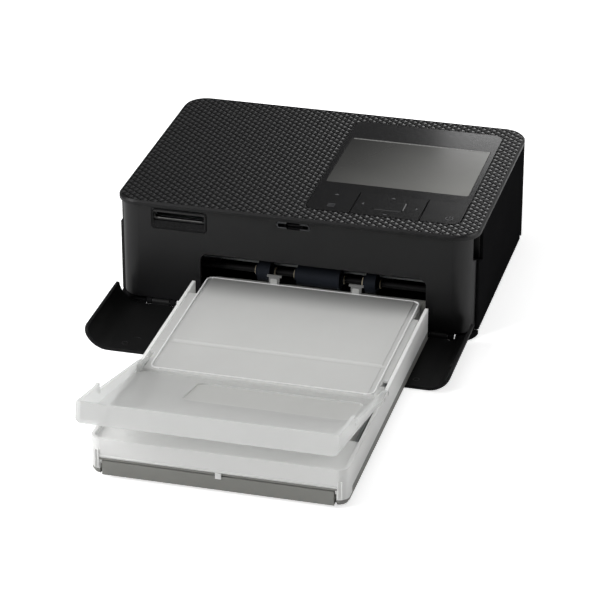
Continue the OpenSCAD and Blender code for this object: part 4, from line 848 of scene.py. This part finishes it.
lid_window()
cover_highlight_bead()
tray_trim()
flap_marks()


# Stage, camera and light

# What the lamps are aimed at, in metres
MIDDLE = Vector((0.0, 0.05, 0.03))
# The floor's own glow to the camera, and the share of it that gloss mirrors
FLOOR_LEVEL = 0.65
FLOOR_MIRRORED = 0.06
# Half the floor's width and its drop below the feet, in metres
FLOOR_HALF = 12
FLOOR_DROP = 0.0002
# Even light of the room on dull surfaces, and the white wall that gloss mirrors
SKY_DIM = 0.03
WALL_LEVEL = 0.22
# The wall's upper edge, as sines of the angle above the horizon where it starts and ends
WALL_EDGE = (0.413, 0.43)
# The wall is dimmer to the left: where the step starts and ends, as ratios of x to y, and its level
WALL_STEP = (-0.27, -0.18)
WALL_LEFT = 0.38


def by_ray(tree, shown, mirrored, dull):
    """Picks a level for rays of the view and through glass, for those of mirrors and of dull surfaces."""
    path = add(tree, "LightPath")
    direct = add(tree, "Math", {0: path.outputs["Is Camera Ray"], 1: path.outputs["Is Transmission Ray"]},
                 operation="MAXIMUM")
    other = add(tree, "Mix", {"Factor": path.outputs["Is Glossy Ray"], "A": dull, "B": mirrored},
                data_type="FLOAT")
    return add(tree, "Mix", {"Factor": direct.outputs[0], "A": other.outputs["Result"], "B": shown},
               data_type="FLOAT").outputs["Result"]


def floor():
    """A wide pale floor that keeps the soft shadow under the printer."""
    bm = bmesh.new()
    bmesh.ops.create_grid(bm, x_segments=1, y_segments=1, size=FLOOR_HALF)
    mesh = bpy.data.meshes.new("floor")
    bm.to_mesh(mesh)
    bm.free()
    obj = bpy.data.objects.new("floor", mesh)
    obj.location.z = -FLOOR_DROP
    bpy.context.scene.collection.objects.link(obj)
    mat = new_material("matt white paper")
    tree = mat.node_tree
    place = add(tree, "TexCoord").outputs["Object"]
    # Flecks 2.5 mm wide, as coarse paper has
    fleck = add(tree, "TexNoise", {"Vector": place, "Scale": 400.0, "Detail": 2.0})
    tone = add(tree, "Mix", {"Factor": fleck.outputs["Fac"], "A": colour("#f2f2f2"),
                             "B": colour("#f6f6f6")}, data_type="RGBA")
    paper = add(tree, "BsdfDiffuse", {"Color": tone.outputs["Result"], "Roughness": 0.9})
    level = by_ray(tree, FLOOR_LEVEL, FLOOR_MIRRORED * FLOOR_LEVEL, 0.0)
    glow = add(tree, "Emission", {"Color": (1, 1, 1, 1), "Strength": level})
    both = add(tree, "AddShader", {0: paper.outputs[0], 1: glow.outputs[0]})
    add(tree, "OutputMaterial", {"Surface": both.outputs[0]})
    mesh.materials.append(mat)


def softbox(name, place, width, depth, power):
    """One soft lamp, aimed at the part's middle; places and sizes in metres, power in watts."""
    data = bpy.data.lights.new(name, "AREA")
    data.shape = "RECTANGLE"
    data.size, data.size_y, data.energy = width, depth, power
    lamp = bpy.data.objects.new(name, data)
    lamp.location = place
    lamp.rotation_euler = (MIDDLE - Vector(place)).to_track_quat("-Z", "Y").to_euler()
    bpy.context.scene.collection.objects.link(lamp)


floor()
softbox("large, front left", (-1.3, -0.9, 0.9), 0.9, 1.1, 36.5)
softbox("overhead", (-0.1, 0.2, 1.6), 1.2, 1.2, 7.0)
softbox("right", (1.1, 0.4, 0.9), 0.8, 0.8, 6.5)
softbox("low strip behind", (0.235, 2.0, 0.6), 1.13, 0.62, 4.8)
softbox("behind", (0.15, 1.15, 1.2), 1.2, 0.8, 2.3)


def studio():
    """The room: even dim light, and for gloss a white wall with soft edges, brighter to the right."""
    world = bpy.data.worlds.new("studio")
    bpy.context.scene.world = world
    world.use_nodes = True
    sky = world.node_tree
    sky.nodes.clear()
    axes = add(sky, "SeparateXYZ", {"Vector": add(sky, "TexCoord").outputs["Generated"]}).outputs
    rise = add(sky, "MapRange", {"Value": axes["Z"], "From Min": WALL_EDGE[0], "From Max": WALL_EDGE[1],
                                 "To Min": 1.0, "To Max": 0.0}, interpolation_type="SMOOTHSTEP")
    side = add(sky, "Math", {0: axes["X"], 1: axes["Y"]}, operation="DIVIDE")
    turn = add(sky, "MapRange", {
        "Value": side.outputs[0], "From Min": WALL_STEP[0], "From Max": WALL_STEP[1],
        "To Min": WALL_LEFT, "To Max": 1.0}, interpolation_type="SMOOTHSTEP")
    wall = add(sky, "Math", {0: rise.outputs["Result"], 1: turn.outputs["Result"]}, operation="MULTIPLY")
    mirrored = add(sky, "Math", {0: wall.outputs[0], 1: WALL_LEVEL, 2: SKY_DIM},
                   operation="MULTIPLY_ADD")
    room = add(sky, "Background", {"Color": (1, 1, 1, 1),
                                   "Strength": by_ray(sky, 1.0, mirrored.outputs[0], SKY_DIM)})
    add(sky, "OutputWorld", {"Surface": room.outputs[0]})


studio()

# A long lens 1.4 m away: focal length and sensor width in mm, and how far it sees, in metres
LENS = 176.7
SENSOR = 36.0
SIGHT = 50.0
CAMERA_AT = (0.3333, -1.2453 + FRONT_Y * MM, 0.6689)
CAMERA_AIM = (0.01227, -0.031394 + FRONT_Y * MM, 0.030)
view = bpy.data.cameras.new("camera")
view.sensor_width = SENSOR
view.lens = LENS
view.clip_end = SIGHT
camera = bpy.data.objects.new("camera", view)
camera.location = CAMERA_AT
camera.rotation_euler = (Vector(CAMERA_AIM) - camera.location).to_track_quat("-Z", "Y").to_euler()
bpy.context.scene.collection.objects.link(camera)
bpy.context.scene.camera = camera
bpy.context.scene.view_settings.view_transform = "Standard"
